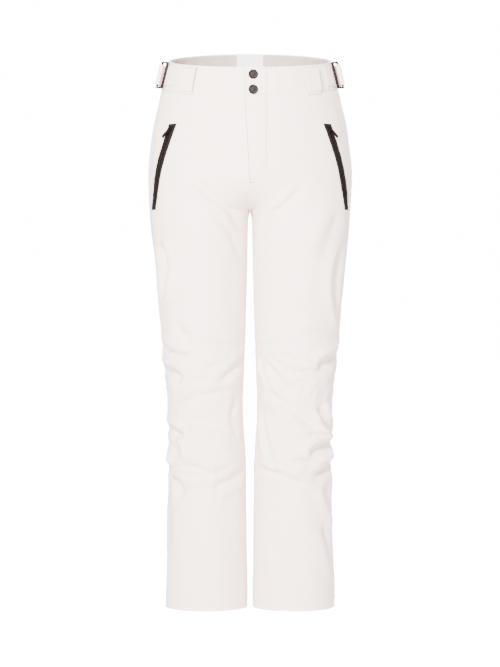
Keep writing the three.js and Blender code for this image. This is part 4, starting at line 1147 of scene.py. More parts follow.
def model_slider():
    """Two plates joined by a post, with an arched bridge that holds the puller."""
    plates = []
    for side in (-1, 1):
        plate = block("slider plate", (8, 1, 10), (0, side * 1.85, 0))
        pick_faces(plate, lambda f: f.normal.z < -0.9)
        bpy.ops.transform.resize(value=(0.62, 1, 1))
        bpy.ops.object.mode_set(mode="OBJECT")
        pick_faces(plate, lambda f, s=side: f.normal.y * s > 0.9)
        bpy.ops.mesh.inset(thickness=0.9 * MM)
        bpy.ops.transform.translate(value=(0, side * 0.3 * MM, 0))
        bpy.ops.object.mode_set(mode="OBJECT")
        plates.append(tidy_block(plate, 0.22))
    post = block("slider post", (0.8, 3.2, 4), (0, 0, 2.5))
    bridge = block("slider bridge", (1.4, 0.9, 0.9), (0, 2.9, -1.1))
    pick_faces(bridge, lambda f: f.normal.y > 0.9)
    bpy.ops.mesh.spin(
        steps=12, angle=math.pi, center=(0, 3.4 * MM, 1.6 * MM), axis=(-1, 0, 0)
    )
    bpy.ops.object.mode_set(mode="OBJECT")
    return [*plates, tidy_block(post, 0.15), tidy_block(bridge, 0.2)]


def model_puller(length):
    """A flat pull tab with an eye for the bridge and a thumb hollow on its face."""
    _, pivot_y, pivot_z = PIVOT
    tab = block("pull tab", (5.6, 1.4, length), (0, pivot_y, pivot_z + 0.7 - length / 2))
    pick_faces(tab, lambda f: f.normal.z < -0.9)
    bpy.ops.mesh.extrude_region_move(TRANSFORM_OT_translate={"value": (0, 0, -0.8 * MM)})
    bpy.ops.transform.resize(value=(0.6, 1, 1))
    bpy.ops.object.mode_set(mode="OBJECT")
    cut_away(tab, block("eye", (2.6, 4, 3.9), (0, pivot_y, pivot_z - 2.65)))
    cut_away(tab, block("thumb hollow", (3.6, 0.8, length - 11), (0, pivot_y + 0.7, -length / 2 - 0.6)))
    return [tidy_block(tab, 0.3)]


def hung(obj, lift, sway):
    """Turns a puller on its bridge, off the tape and then aside, in degrees."""
    pivot = Matrix.Translation([c * MM for c in PIVOT])
    turn = Matrix.Rotation(math.radians(sway), 4, "Y") @ Matrix.Rotation(math.radians(lift), 4, "X")
    obj.data.transform(pivot @ turn @ pivot.inverted())


def settle(obj, matrix, mirror=False):
    """Bakes a place into the mesh, so that the piece rests at the origin."""
    obj.data.transform(Matrix(matrix.tolist()))
    if mirror:
        obj.data.transform(Matrix.Diagonal((-1, 1, 1, 1)))
        obj.data.flip_normals()


def twin(objs):
    made = []
    for o in objs:
        other = o.copy()
        other.data = o.data.copy()
        bpy.context.collection.objects.link(other)
        made.append(other)
    return made


def build_hip_zips():
    place, radius, low, high = hip_track()
    reach = 1.2 * MM / radius
    places = [place(a) for a in np.linspace(low - reach, high + reach, 44)]
    at = place(high - (SLIDER_LENGTH / 2 + 2 * MM) / radius)
    for side in SIDES:
        for part, hand in (("front", 1), ("back", -1)):
            node = f"hip_zip_{part}_stringer_{side}"
            zip_side(node, places, hand, side == "right", [bonded_trim(node, hand, side)])
    sliders = {"left": model_slider()}
    sliders["right"] = twin(sliders["left"])
    pullers = {"left": model_puller(HIP_PULLER)}
    for o in pullers["left"]:
        hung(o, PULLER_LIFT, PULLER_SWAY)
    pullers["right"] = twin(pullers["left"])
    for side in SIDES:
        for kind, made in (("slider", sliders), ("puller", pullers)):
            for o in made[side]:
                settle(o, at, side == "right")
            node = f"hip_zip_{kind}_{side}"
            place_all(made[side], node, node, "dark metal")


def build_fly_zip():
    place, length = fly_track()
    places = [place(t) for t in np.linspace(0, 1, 12)]
    zip_side("fly_zip_stringer_right", places, 1, False)
    zip_side("fly_zip_stringer_left", places, -1, False)
    at = place(1 - (SLIDER_LENGTH / 2 + 1 * MM) / length)
    for kind, made in (("slider", model_slider()), ("puller", model_puller(FLY_PULLER))):
        for o in made:
            settle(o, at)
        place_all(made, f"fly_zip_{kind}", f"fly_zip_{kind}", "dark metal")


# ---- snaps --------------------------------------------------------------------------------------
def turned(name, outline, steps=40):
    """A round part: its outline of (radius, height) points spun about +Y in edit mode."""
    bpy.ops.object.select_all(action="DESELECT")
    bpy.ops.mesh.primitive_circle_add(vertices=steps, radius=outline[0][0] * MM, fill_type="NGON",
                                      rotation=(-math.pi / 2, 0, 0))
    obj = bpy.context.object
    obj.name = name
    bpy.ops.object.transform_apply(location=True, rotation=True, scale=True)
    bpy.ops.object.mode_set(mode="EDIT")
    bpy.ops.mesh.select_mode(type="FACE")
    bpy.ops.mesh.select_all(action="SELECT")
    bpy.ops.transform.translate(value=(0, outline[0][1] * MM, 0))
    for (r0, y0), (r1, y1) in zip(outline, outline[1:]):
        bpy.ops.mesh.extrude_region_move(TRANSFORM_OT_translate={"value": (0, (y1 - y0) * MM, 0)})
        share = r1 / r0
        bpy.ops.transform.resize(value=(share, 1, share))
    bpy.ops.mesh.select_all(action="SELECT")
    bpy.ops.mesh.normals_make_consistent(inside=False)
    bpy.ops.object.mode_set(mode="OBJECT")
    bpy.ops.object.shade_smooth_by_angle(angle=math.radians(35))
    return obj


def snap_place(height, depth):
    x = np.array([SNAP_X])
    at = front_points(x, np.array([height]), np.array([-depth]))[0]
    out = outward(u_at_x(x, np.array([height])), np.array([height]))[0]
    out = unit(out * np.array([0, 1, 1]))
    return basis(np.cross(out, [0, 0, 1.0]), out, np.cross(np.cross(out, [0, 0, 1.0]), out), at)


CAP_OUTLINE = [
    (1.6, -3.4), (1.6, 0.25), (8.2, 0.3), (8.75, 0.6), (9, 1.1), (8.95, 1.7), (8.6, 2.2), (8, 2.4),
    (7.3, 2.35), (6.8, 2.0), (6.5, 1.55), (6.2, 1.45), (4.4, 1.6), (2.2, 1.72), (0.6, 1.75),
]
STUD_OUTLINE = [
    (1.4, -3.2), (1.4, 0.3), (4.9, 0.32), (5.0, 0.5), (4.6, 0.64), (2.4, 0.7), (2.3, 0.9),
    (2.75, 1.3), (2.5, 1.8), (1.6, 2.0), (0.5, 2.02),
]


def build_snaps():
    parts = (
        ("snap_cap", CAP_OUTLINE, 0, "fly_flap"),
        ("snap_socket", None, 4 * MM, "fly_flap"),
        ("snap_stud", STUD_OUTLINE, 7 * MM, "root"),
    )
    for name, outline, depth, body in parts:
        first = turned(name, outline) if outline else model_socket()
        second = twin([first])[0]
        for obj, place, height in zip((first, second), ("upper", "lower"), SNAP_HEIGHTS):
            settle(obj, snap_place(height, depth))
            place_all([obj], f"{name}_{place}", body, "snap metal")


def model_socket():
    """The ring behind the cap that grips the stud."""
    bpy.ops.object.select_all(action="DESELECT")
    bpy.ops.mesh.primitive_torus_add(
        major_radius=4.75 * MM, minor_radius=1.2 * MM, major_segments=40, minor_segments=12,
        rotation=(math.pi / 2, 0, 0), location=(0, -1.25 * MM, 0),
    )
    obj = bpy.context.object
    obj.name = "snap socket"
    bpy.ops.object.transform_apply(location=True, rotation=True, scale=True)
    bpy.ops.object.mode_set(mode="EDIT")
    bpy.ops.mesh.select_all(action="SELECT")
    bpy.ops.transform.resize(value=(1, 0.62, 1))
    bpy.ops.object.mode_set(mode="OBJECT")
    bpy.ops.object.shade_smooth_by_angle(angle=math.radians(60))
    return obj


# ---- ribbons: webbing straps and belt loops ----------------------------------------------------
def ribbon(name, line, out, across, width, thickness, mirror, bulge=0.0):
    """A strap along a line. out points from its back to its face, across runs over its width."""
    line = np.asarray(line, float)
    out = unit(np.asarray(out, float))
    lengths = np.linalg.norm(np.diff(line, axis=0), axis=1)
    along = np.concatenate([[0], np.cumsum(lengths)])
    shares = spread(width, 3 * MM, (0.4, 1.0, 2.0))
    rows = (shares - 0.5) * width
    rim = np.minimum(shares, 1 - shares) * width
    sink = 0.25 * thickness * np.exp(-((rim / (0.5 * MM)) ** 2)) - bulge * np.sin(np.pi * shares)
    mid = line[:, None] + np.asarray(across, float) * rows[None, :, None]
    half = (thickness / 2 - sink)[None, :, None]
    outer = mid + out[:, None] * half
    inner = mid - out[:, None] * (thickness / 2 - np.clip(sink, 0, 1))[None, :, None]
    uv = np.stack(np.meshgrid(along, rows, indexing="ij"), -1)
    flow = np.cross(line[1] - line[0], np.asarray(across, float).reshape(-1, 3)[0])
    if flow @ out[0] < 0:
        outer, inner, uv = outer[:, ::-1], inner[:, ::-1], uv[:, ::-1]
    return closed_cloth(name, outer, inner, uv, mirror=mirror)


RING_AT = 0.415
RING_BAR = 3.2 * MM
RING_SIZE = (20 * MM, 52 * MM)
RING_LEAN = math.radians(16)
WEBBING = 1.5 * MM
WEBBING_WIDTH = 38 * MM
BAND_CLEARANCE = 1.2 * MM
RING_FACE = 5.2 * MM  # the front bar, which is seen beside the webbing
RING_DEPTH = 3.8 * MM
BAR_REACH = RING_BAR * 0.71  # half the diagonal of the rear bar
BAR_STAND = BAND_CLEARANCE + WEBBING + BAR_REACH + 0.3 * MM  # the ring's axis, off the waistband
EYE = math.hypot(RING_FACE, RING_DEPTH) / 2 + 0.1 * MM  # of the webbing round the front bar


def adjuster_frame():
    """Z runs up the ring's front bar, Y stands out of the waistband and X runs forward."""
    middle = waist_edge(RING_AT) - BAND_HEIGHT / 2
    out = outward(RING_AT, middle)
    up = surface(RING_AT, middle + 10 * MM) - surface(RING_AT, middle - 10 * MM)
    up = unit(up - out * (up @ out))
    at = surface(RING_AT, middle) + out * BAR_STAND
    return basis(unit(np.cross(out, up)), out, up, at)


def band_run(matrix, start, end, steps, stand):
    """The waistband's own line in the adjuster's frame, raised by a stand-off."""
    u = np.linspace(start, end, steps + 1)
    height = waist_edge(u) - BAND_HEIGHT / 2
    points = surface(u, height) + outward(u, height) * stand
    return move(np.linalg.inv(matrix), points)[:, :2]


def plan_normals(line):
    step = np.gradient(line, axis=0)
    step = step / np.linalg.norm(step, axis=1, keepdims=True)
    return np.stack([-step[:, 1], step[:, 0]], axis=1)


def plan_strap(name, line, matrix, mirror, flip=1):
    """A webbing strap from its line in plan, standing upright across the webbing's width."""
    line = smooth_path(line, 4)
    normals = plan_normals(line) * flip
    world = move(matrix, np.column_stack([line, np.zeros(len(line))]))
    out = np.column_stack([normals, np.zeros(len(line))]) @ matrix[:3, :3].T
    return ribbon(name, world, out, matrix[:3, 2], WEBBING_WIDTH, WEBBING, mirror)


def model_ring():
    """A flat rectangular ring with rounded bars."""
    w, h = RING_SIZE[0] / MM, RING_SIZE[1] / MM
    bar = RING_BAR / MM
    front, rear = RING_FACE / MM / 2, bar / 2 - w
    frame_block = block("ring", (front - rear, RING_DEPTH / MM, h), ((front + rear) / 2, 0, 0))
    inner = rear + bar
    window = block("window", (-front - inner, 3 * bar, h - 2 * bar), ((inner - front) / 2, 0, 0))
    cut_away(frame_block, window)
    return tidy_block(frame_block, 1.1, 4)


def build_adjusters():
    matrix = adjuster_frame()
    stand = BAND_CLEARANCE + WEBBING / 2
    rear = (RING_SIZE[0] - RING_BAR) * np.array([-math.cos(RING_LEAN), math.sin(RING_LEAN)])
    base = band_run(matrix, RING_AT - 0.085, RING_AT - 0.006, 5, stand)
    reach = EYE + WEBBING / 2
    turn = [(-reach * math.sin(a), -reach * math.cos(a)) for a in np.linspace(0.2, 0.62 * math.pi, 6)]
    anchor_line = np.concatenate([base, turn])
    wrap = BAR_REACH + 1 * MM + WEBBING / 2
    near = RING_AT + 0.055 + 0.012
    strap_line = band_run(matrix, RING_AT + 0.26, near, 7, stand)
    bend = [
        rear + wrap * np.array([math.cos(a), math.sin(a)])
        for a in np.linspace(-math.pi / 2, math.pi / 2, 9)
    ]
    strap_line = np.concatenate([strap_line, bend])
    end = band_run(matrix, RING_AT + 0.2, RING_AT + 0.2, 1, stand + 2 * WEBBING + 2 * MM)[0]
    start = rear + np.array([-0.6 * MM, wrap])
    bulge = (start * 2 + end) / 3 + np.array([0, 1.4 * MM])
    t = np.linspace(0, 1, 8)[:, None]
    tail_line = start * (1 - t) ** 2 + 2 * bulge * t * (1 - t) + end * t**2
    lean = np.eye(4)
    lean[:3, :3] = np.array(Matrix.Rotation(-RING_LEAN, 3, "Z"))
    rings = {"left": model_ring()}
    rings["right"] = twin([rings["left"]])[0]
    straps = (
        ("adjuster_anchor", anchor_line, "root", 46 * MM, -1),
        ("adjuster_strap", strap_line, "root", 110 * MM, 1),
        ("adjuster_strap_tail", tail_line, "adjuster_tail", 66 * MM, -1),
    )
    for side in SIDES:
        mirror = side == "right"
        for name, line, body, length, flip in straps:
            node = f"{name}_{side}"
            obj = plan_strap(f"{node}_webbing", line, matrix, mirror, flip)
            own = body if body == "root" else f"{body}_{side}"
            finish_sheet(obj, node, (length, WEBBING_WIDTH), "strap webbing", own)
        settle(rings[side], matrix @ lean, mirror)
        node = f"adjuster_ring_{side}"
        place_all([rings[side]], node, node, "ring plastic")


FRONT_LOOP_AT = 0.243
LOOP_WIDTH = 32 * MM
LOOP_CLOTH = 1.6 * MM
BELT_SPACE = 4.8 * MM


def belt_loop(name, u, mirror):
    """A folded strip sewn down at both ends, standing off the band for a belt."""
    top, bottom = float(waist_edge(u)), float(band_foot(u)) - 4 * MM
    middle = (top + bottom) / 2
    out = outward(u, middle)
    up = surface(u, top) - surface(u, bottom)
    up = unit(up - out * (up @ out))
    along = unit(np.cross(up, out))
    half = (top - bottom) / 2 / MM
    roof = BELT_SPACE / MM + 1.2
    outline = [
        (-half + 0.8, 1.3), (-half + 3.4, 1.5), (-half + 5, 2.6), (-half + 7, roof - 0.4),
        (-half + 13, roof), (0, roof + 0.25), (half - 13, roof), (half - 7, roof - 0.4),
        (half - 5, 2.6), (half - 3.4, 1.5), (half - 0.8, 1.3),
    ]
    line = smooth_path(np.array(outline) * MM, 4)
    step = np.gradient(line, axis=0)
    normal = unit(np.stack([-step[:, 1], step[:, 0]], axis=1))
    at = surface(u, middle)
    if u == 1:
        at[0] = 0
    world = at + line[:, :1] * up + line[:, 1:] * out
    face = normal[:, :1] * up + normal[:, 1:] * out
    return ribbon(name, world, face, along, LOOP_WIDTH, LOOP_CLOTH, mirror, 0.15 * MM)


def build_belt_loops():
    spots = (("front_right", FRONT_LOOP_AT, True), ("front_left", FRONT_LOOP_AT, False), ("back", 1, False))
    for part, u, mirror in spots:
        node = f"belt_loop_{part}"
        obj = belt_loop(f"{node}_cloth", u, mirror)
        finish_sheet(obj, node, (LOOP_WIDTH, 60 * MM), "shell cloth")


# ---- stitching ----------------------------------------------------------------------------------
def stitches(points, out, pitch, length=2.7, width=0.55, rise=0.32):
    """Short threads laid end to end along a line on the cloth."""
    steps = np.linalg.norm(np.diff(points, axis=0), axis=1)
    along = np.concatenate([[0], np.cumsum(steps)])
    places = np.arange(pitch / 2, along[-1] - pitch / 2, pitch)
    corners, faces = [], []
    for k, s in enumerate(places):
        i = min(max(np.searchsorted(along, s) - 1, 0), len(points) - 2)
        t = (s - along[i]) / max(along[i + 1] - along[i], 1e-9)
        at = points[i] + (points[i + 1] - points[i]) * t
        run = unit(points[i + 1] - points[i])
        face = unit(out[i] - run * (out[i] @ run))
        beside = np.cross(run, face)
        for a in (-1, 1):
            for b, sink in ((-1, 0.15), (1, 0)):
                for c in (-1, 1):
                    corners.append(
                        at + run * c * (length / 2 - (0.35 if b > 0 else 0)) * MM
                        + beside * a * width / 2 * MM * (1 if b < 0 else 0.6)
                        + face * (rise * MM if b > 0 else -sink * MM)
                    )
        faces.append(BOX_FACES + 8 * k)
    return np.array(corners), np.concatenate(faces) if faces else np.zeros((0, 4), int)


def sew(name, runs, mirror, body, sizes):
    """One object for all the stitch rows of a part of the garment."""
    corners, faces, total = [], [], 0
    for points, out in runs:
        c, f = stitches(points, out, sizes.stitch_pitch)
        if len(c):
            corners.append(c)
            faces.append(f + total)
            total += len(c)
    points = np.concatenate(corners)
    obj = new_mesh(name, points, np.concatenate(faces), points[:, [0, 2]], mirror)
    select_only(obj)
    bpy.ops.object.mode_set(mode="EDIT")
    bpy.ops.mesh.select_all(action="SELECT")
    bpy.ops.mesh.normals_make_consistent(inside=False)
    bpy.ops.object.mode_set(mode="OBJECT")
    dress(obj, "thread")
    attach(obj, body)


def row_round(side, u_from, u_to, height_at, on_band=False):
    """A row of sewing that runs round the body."""
    u = np.linspace(u_from, u_to, max(int(abs(u_to - u_from) * RING / (2 * MM)), 4))
    height = value_at(height_at, u)
    points = band_points(u, height, 0) if on_band else skin(side, u, height)
    return points, outward(u, height)


def row_up(side, u_at, bottom, top):
    """A row of sewing that runs up the leg."""
    height = np.linspace(bottom, top, max(int((top - bottom) / (2 * MM)), 4))
    u = value_at(u_at, height)
    return skin(side, u, height), outward(u, height)


def build_stitching(sizes):
    beside = TOPSTITCH / RING
    for side in SIDES:
        mirror = side == "right"
        seam_top = float(band_foot(0.5)) - 2 * MM
        runs = [
            row_round(side, 0.006, 0.994, HEM_STITCH),
            row_round(side, 0.006, 0.494, KNEE_SEAM + TOPSTITCH),
            row_round(side, 0.006, 0.494, SHIN_SEAM - TOPSTITCH),
            row_up(side, 0.5 + beside, 8 * MM, seam_top),
        ]
        slot_ends = (ZIP_FOOT[1] - 3 * MM, ZIP_HEAD[1] + 3 * MM)
        for hand in (-1, 1):
            def beside_lip(h, hand=hand):
                return zip_line(h) + hand * half_slot(h) * (1 + ZIP_STITCH / SLOT_HALF)

            runs.append(row_up(side, beside_lip, *slot_ends))
        for height in slot_ends:
            middle, half = float(zip_line(height)), float(half_slot(np.array(height))) * 1.4
            runs.append(row_round(side, middle - half, middle + half, height))
        sew(f"stitching_{side}_leg", runs, mirror, "root", sizes)
        start = 0.031 if side == "right" else 0.074
        bands = [
            row_round(side, start, 0.998, lambda u: band_foot(u) + BAND_STITCH, True),
            row_round(side, start, 0.998, lambda u: waist_edge(u) - BAND_STITCH, True),
        ]
        sew(f"stitching_{side}_waistband", bands, mirror, "root", sizes)
    height = np.linspace(FLY_FOOT + 6 * MM, FLY_TOP - 2 * MM, 90)
    x = np.maximum(fly_hinge(height) - TOPSTITCH, 2.5 * MM)
    fly_rows = [(front_points(x, height, np.full_like(x, -0.4 * MM)), outward(u_at_x(x, height), height))]
    x = np.linspace(FLY_EDGE + 4 * MM, FLY_HINGE - 1 * MM, 24)
    for up in (BAND_STITCH, BAND_HEIGHT - BAND_STITCH):
        u = u_at_x(x, np.full_like(x, FRONT_EDGE))
        height = band_foot(u) + up
        points = front_points(x, height, band_wave(u, height))
        fly_rows.append((points, outward(u, height)))
    sew("stitching_fly_flap", fly_rows, False, "fly_flap", sizes)


# ---- finishes -----------------------------------------------------------------------------------
def add_node(tree, kind, inputs=(), **settings):
    """A node with its settings, and its inputs set to values or linked to other nodes' outputs."""
    node = tree.nodes.new(kind)
    for name, value in settings.items():
        setattr(node, name, value)
    for key, value in dict(inputs).items():
        if isinstance(value, bpy.types.NodeSocket):
            tree.links.new(value, node.inputs[key])
        else:
            node.inputs[key].default_value = value
    return node


def new_group(name, ins, outs):
    group = bpy.data.node_groups.new(name, "ShaderNodeTree")
    for label, kind, value in ins:
        socket = group.interface.new_socket(label, in_out="INPUT", socket_type=kind)
        if value is not None:
            socket.default_value = value
    for label, kind in outs:
        group.interface.new_socket(label, in_out="OUTPUT", socket_type=kind)
    return group, group.nodes.new("NodeGroupInput"), group.nodes.new("NodeGroupOutput")


def weave_group():
    """Crossed threads: a height and a tone from the cloth's own coordinates in metres."""
    name = "woven threads"
    if name in bpy.data.node_groups:
        return bpy.data.node_groups[name]
    group, start, end = new_group(
        name,
        [("Cloth", "NodeSocketVector", None), ("Fineness", "NodeSocketFloat", 500.0)],
        [("Height", "NodeSocketFloat"), ("Tone", "NodeSocketFloat")],
    )
    waves = []
    for direction in ("X", "Y"):
        wave = add_node(
            group, "ShaderNodeTexWave",
            {"Vector": start.outputs["Cloth"], "Scale": start.outputs["Fineness"], "Distortion": 0.6},
            wave_type="BANDS", bands_direction=direction, wave_profile="SIN",
        )
        waves.append(wave.outputs["Fac"])
    both = add_node(group, "ShaderNodeMath", {0: waves[0], 1: waves[1]}, operation="MULTIPLY")
    cloud = add_node(
        group, "ShaderNodeTexNoise",
        {"Vector": start.outputs["Cloth"], "Scale": 38.0, "Detail": 5.0, "Roughness": 0.62},
    )
    slub = add_node(
        group, "ShaderNodeTexNoise",
        {"Vector": start.outputs["Cloth"], "Scale": 420.0, "Detail": 2.0, "Roughness": 0.5},
    )
    tone = add_node(
        group, "ShaderNodeMath", {0: cloud.outputs["Fac"], 1: slub.outputs["Fac"]}, operation="ADD"
    )
    half = add_node(group, "ShaderNodeMath", {0: tone.outputs[0], 1: 0.5}, operation="MULTIPLY")
    rough = add_node(
        group, "ShaderNodeMath", {0: slub.outputs["Fac"], 1: 0.6, 2: both.outputs[0]},
        operation="MULTIPLY_ADD",
    )
    group.links.new(rough.outputs[0], end.inputs["Height"])
    group.links.new(half.outputs[0], end.inputs["Tone"])
    return group


def wear_group():
    """Soft uneven patches: a mask from the object's own coordinates."""
    name = "uneven handling"
    if name in bpy.data.node_groups:
        return bpy.data.node_groups[name]
    group, start, end = new_group(
        name,
        [("Object", "NodeSocketVector", None), ("Size", "NodeSocketFloat", 9.0)],
        [("Mask", "NodeSocketFloat"), ("Grain", "NodeSocketFloat")],
    )
    large = add_node(
        group, "ShaderNodeTexNoise",
        {"Vector": start.outputs["Object"], "Scale": start.outputs["Size"], "Detail": 4.0},
    )
    fine = add_node(
        group, "ShaderNodeTexNoise",
        {"Vector": start.outputs["Object"], "Scale": 900.0, "Detail": 3.0, "Roughness": 0.6},
    )
    spread_out = add_node(
        group, "ShaderNodeMapRange",
        {"Value": large.outputs["Fac"], "From Min": 0.32, "From Max": 0.68},
    )
    group.links.new(spread_out.outputs["Result"], end.inputs["Mask"])
    group.links.new(fine.outputs["Fac"], end.inputs["Grain"])
    return group


def tinted(color, share):
    return tuple(min(c * share, 1.0) for c in color) + (1.0,)


def new_material(name):
    """A material with its node tree, its shader and a node for the object's coordinates."""
    material = bpy.data.materials.new(name)
    material.use_nodes = True
    tree = material.node_tree
    return material, tree, tree.nodes["Principled BSDF"], add_node(tree, "ShaderNodeTexCoord")


def drive_shader(tree, shader, tone, rough, raised, gloss):
    tree.links.new(tone.outputs["Result"], shader.inputs["Base Color"])
    tree.links.new(rough.outputs["Result"], shader.inputs["Roughness"])
    tree.links.new(raised.outputs["Normal"], shader.inputs["Normal"])
    shader.inputs["Specular IOR Level"].default_value = gloss


def cloth_material(name, color, roughness, fineness, bump, contrast=0.05):
    """Woven cloth: threads raise it, and its tone and gloss drift a little."""
    material, tree, shader, coordinates = new_material(name)
    weave = add_node(
        tree, "ShaderNodeGroup", {"Fineness": fineness, "Cloth": coordinates.outputs["UV"]},
        node_tree=weave_group(),
    )
    wear = add_node(
        tree, "ShaderNodeGroup", {"Object": coordinates.outputs["Object"]}, node_tree=wear_group()
    )
    tone = add_node(
        tree, "ShaderNodeMix", {"Factor": weave.outputs["Tone"]}, data_type="RGBA"
    )
    tone.inputs["A"].default_value = tinted(color, 1 - contrast)
    tone.inputs["B"].default_value = tinted(color, 1 + contrast * 0.6)
    rough = add_node(
        tree, "ShaderNodeMapRange",
        {"Value": wear.outputs["Mask"], "To Min": roughness - 0.06, "To Max": roughness + 0.06},
    )
    raised = add_node(
        tree, "ShaderNodeBump",
        {"Height": weave.outputs["Height"], "Distance": bump * MM, "Strength": 0.6},
    )
    drive_shader(tree, shader, tone, rough, raised, 0.2)
    return material


def hard_material(name, color, roughness, metallic, bump):
    """Metal or plastic with a fine grain and handled patches."""
    material, tree, shader, coordinates = new_material(name)
    wear = add_node(
        tree, "ShaderNodeGroup", {"Size": 160.0, "Object": coordinates.outputs["Object"]},
        node_tree=wear_group(),
    )
    tone = add_node(tree, "ShaderNodeMix", {"Factor": wear.outputs["Mask"]}, data_type="RGBA")
    tone.inputs["A"].default_value = tinted(color, 0.82)
    tone.inputs["B"].default_value = tinted(color, 1.25)
    rough = add_node(
        tree, "ShaderNodeMapRange",
        {"Value": wear.outputs["Mask"], "To Min": roughness - 0.07, "To Max": roughness + 0.1},
    )
    raised = add_node(
        tree, "ShaderNodeBump",
        {"Height": wear.outputs["Grain"], "Distance": bump * MM, "Strength": 0.5},
    )
    shader.inputs["Metallic"].default_value = metallic
    drive_shader(tree, shader, tone, rough, raised, 0.14)
    return material


def build_finishes(sizes):
    cloth_material("shell cloth", sizes.shell_color, 0.66, 520, 0.05)
    cloth_material("lining cloth", sizes.lining_color, 0.5, 700, 0.04)
    cloth_material("patch cloth", sizes.patch_color, 0.45, 620, 0.03)
    cloth_material("gaiter cloth", sizes.gaiter_color, 0.55, 600, 0.04)
    cloth_material("ribbed elastic", sizes.gaiter_color, 0.8, 260, 0.2)
    cloth_material("strap webbing", sizes.shell_color, 0.7, 300, 0.12, 0.07)
    cloth_material("zip tape", sizes.trim_color, 0.8, 480, 0.1, 0.15)
    cloth_material("thread", sizes.shell_color, 0.6, 1500, 0.05, 0.08)
    hard_material("zip teeth", sizes.trim_color, 0.42, 0.0, 0.03)
    hard_material("dark metal", sizes.trim_color, 0.42, 0.35, 0.02)
    hard_material("snap metal", sizes.trim_color, 0.42, 0.35, 0.03)
    hard_material("ring plastic", sizes.trim_color, 0.4, 0.0, 0.04)


def dress(obj, material):
    obj.data.materials.clear()
    obj.data.materials.append(bpy.data.materials[material])


# ---- stage --------------------------------------------------------------------------------------
def area_light(name, at, target, size, power):
    data = bpy.data.lights.new(name, "AREA")
    data.shape, data.size, data.energy = "DISK", size, power
    obj = bpy.data.objects.new(name, data)
    bpy.context.collection.objects.link(obj)
    obj.location = at
    obj.rotation_euler = (Vector(target) - Vector(at)).to_track_quat("-Z", "Y").to_euler()


WHITE = (1.0, 1.0, 1.0, 1.0)
FLOOR_REACH = 40  # metres from the middle to each edge
CAMERA_LENS = 113.7
LIGHTS = (  # name, place from the middle of the pants, size, share of the key's power
    ("key light", (-1.1, -3.7, 1.6), 0.9, 1),
    ("fill light", (2.4, -3.6, 0.4), 2.4, 0.12),
    ("back light", (1.9, 3.6, 1.9), 0.9, 0.6),
)


def build_stage(sizes):
    """A wide pale floor, an even white surround, soft lights and the camera."""
    ends = ((-1, -1), (1, -1), (1, 1), (-1, 1))
    corners = [(x * FLOOR_REACH, y * FLOOR_REACH, HEM_Z) for x, y in ends]
    floor = new_mesh("floor", corners, [[0, 1, 2, 3]], [(p[0], p[1]) for p in corners])
    paper = hard_material("white studio floor", sizes.floor_color, 0.85, 0.0, 0.02)
    tree = paper.node_tree
    shader = tree.nodes["Principled BSDF"]
    seen = add_node(tree, "ShaderNodeLightPath")
    glow = add_node(
        tree, "ShaderNodeMath", {0: seen.outputs["Is Camera Ray"], 1: sizes.surround},
        operation="MULTIPLY",
    )
    shader.inputs["Emission Color"].default_value = WHITE
    tree.links.new(glow.outputs["Value"], shader.inputs["Emission Strength"])
    floor.data.materials.append(paper)
    middle = HEM_Z / 2
    for name, (x, y, z), size, share in LIGHTS:
        area_light(name, (x, y, middle + z), (0, 0, middle), size, sizes.key_power * share)
    world = bpy.data.worlds.new("studio")
    world.use_nodes = True
    tree = world.node_tree
    sky = tree.nodes["Background"]
    sky.inputs["Color"].default_value = (1.0, 0.93, 0.915, 1.0)
    sky.inputs["Strength"].default_value = sizes.sky_strength
    paper_sky = add_node(tree, "ShaderNodeBackground")
    paper_sky.inputs["Color"].default_value = WHITE
    paper_sky.inputs["Strength"].default_value = sizes.surround
    seen = add_node(tree, "ShaderNodeLightPath")
    both = add_node(tree, "ShaderNodeMixShader", {0: seen.outputs["Is Camera Ray"]})
    tree.links.new(sky.outputs["Background"], both.inputs[1])
    tree.links.new(paper_sky.outputs["Background"], both.inputs[2])
    tree.links.new(both.outputs["Shader"], tree.nodes["World Output"].inputs["Surface"])
    bpy.context.scene.world = world
    data = bpy.data.cameras.new("camera")
    data.lens, data.sensor_width, data.sensor_fit = CAMERA_LENS, 36.0, "AUTO"
    camera = bpy.data.objects.new("camera", data)
    bpy.context.collection.objects.link(camera)
    camera.location = (0, -sizes.camera_distance, middle)
    camera.rotation_euler = (math.pi / 2, 0, 0)
    bpy.context.scene.camera = camera


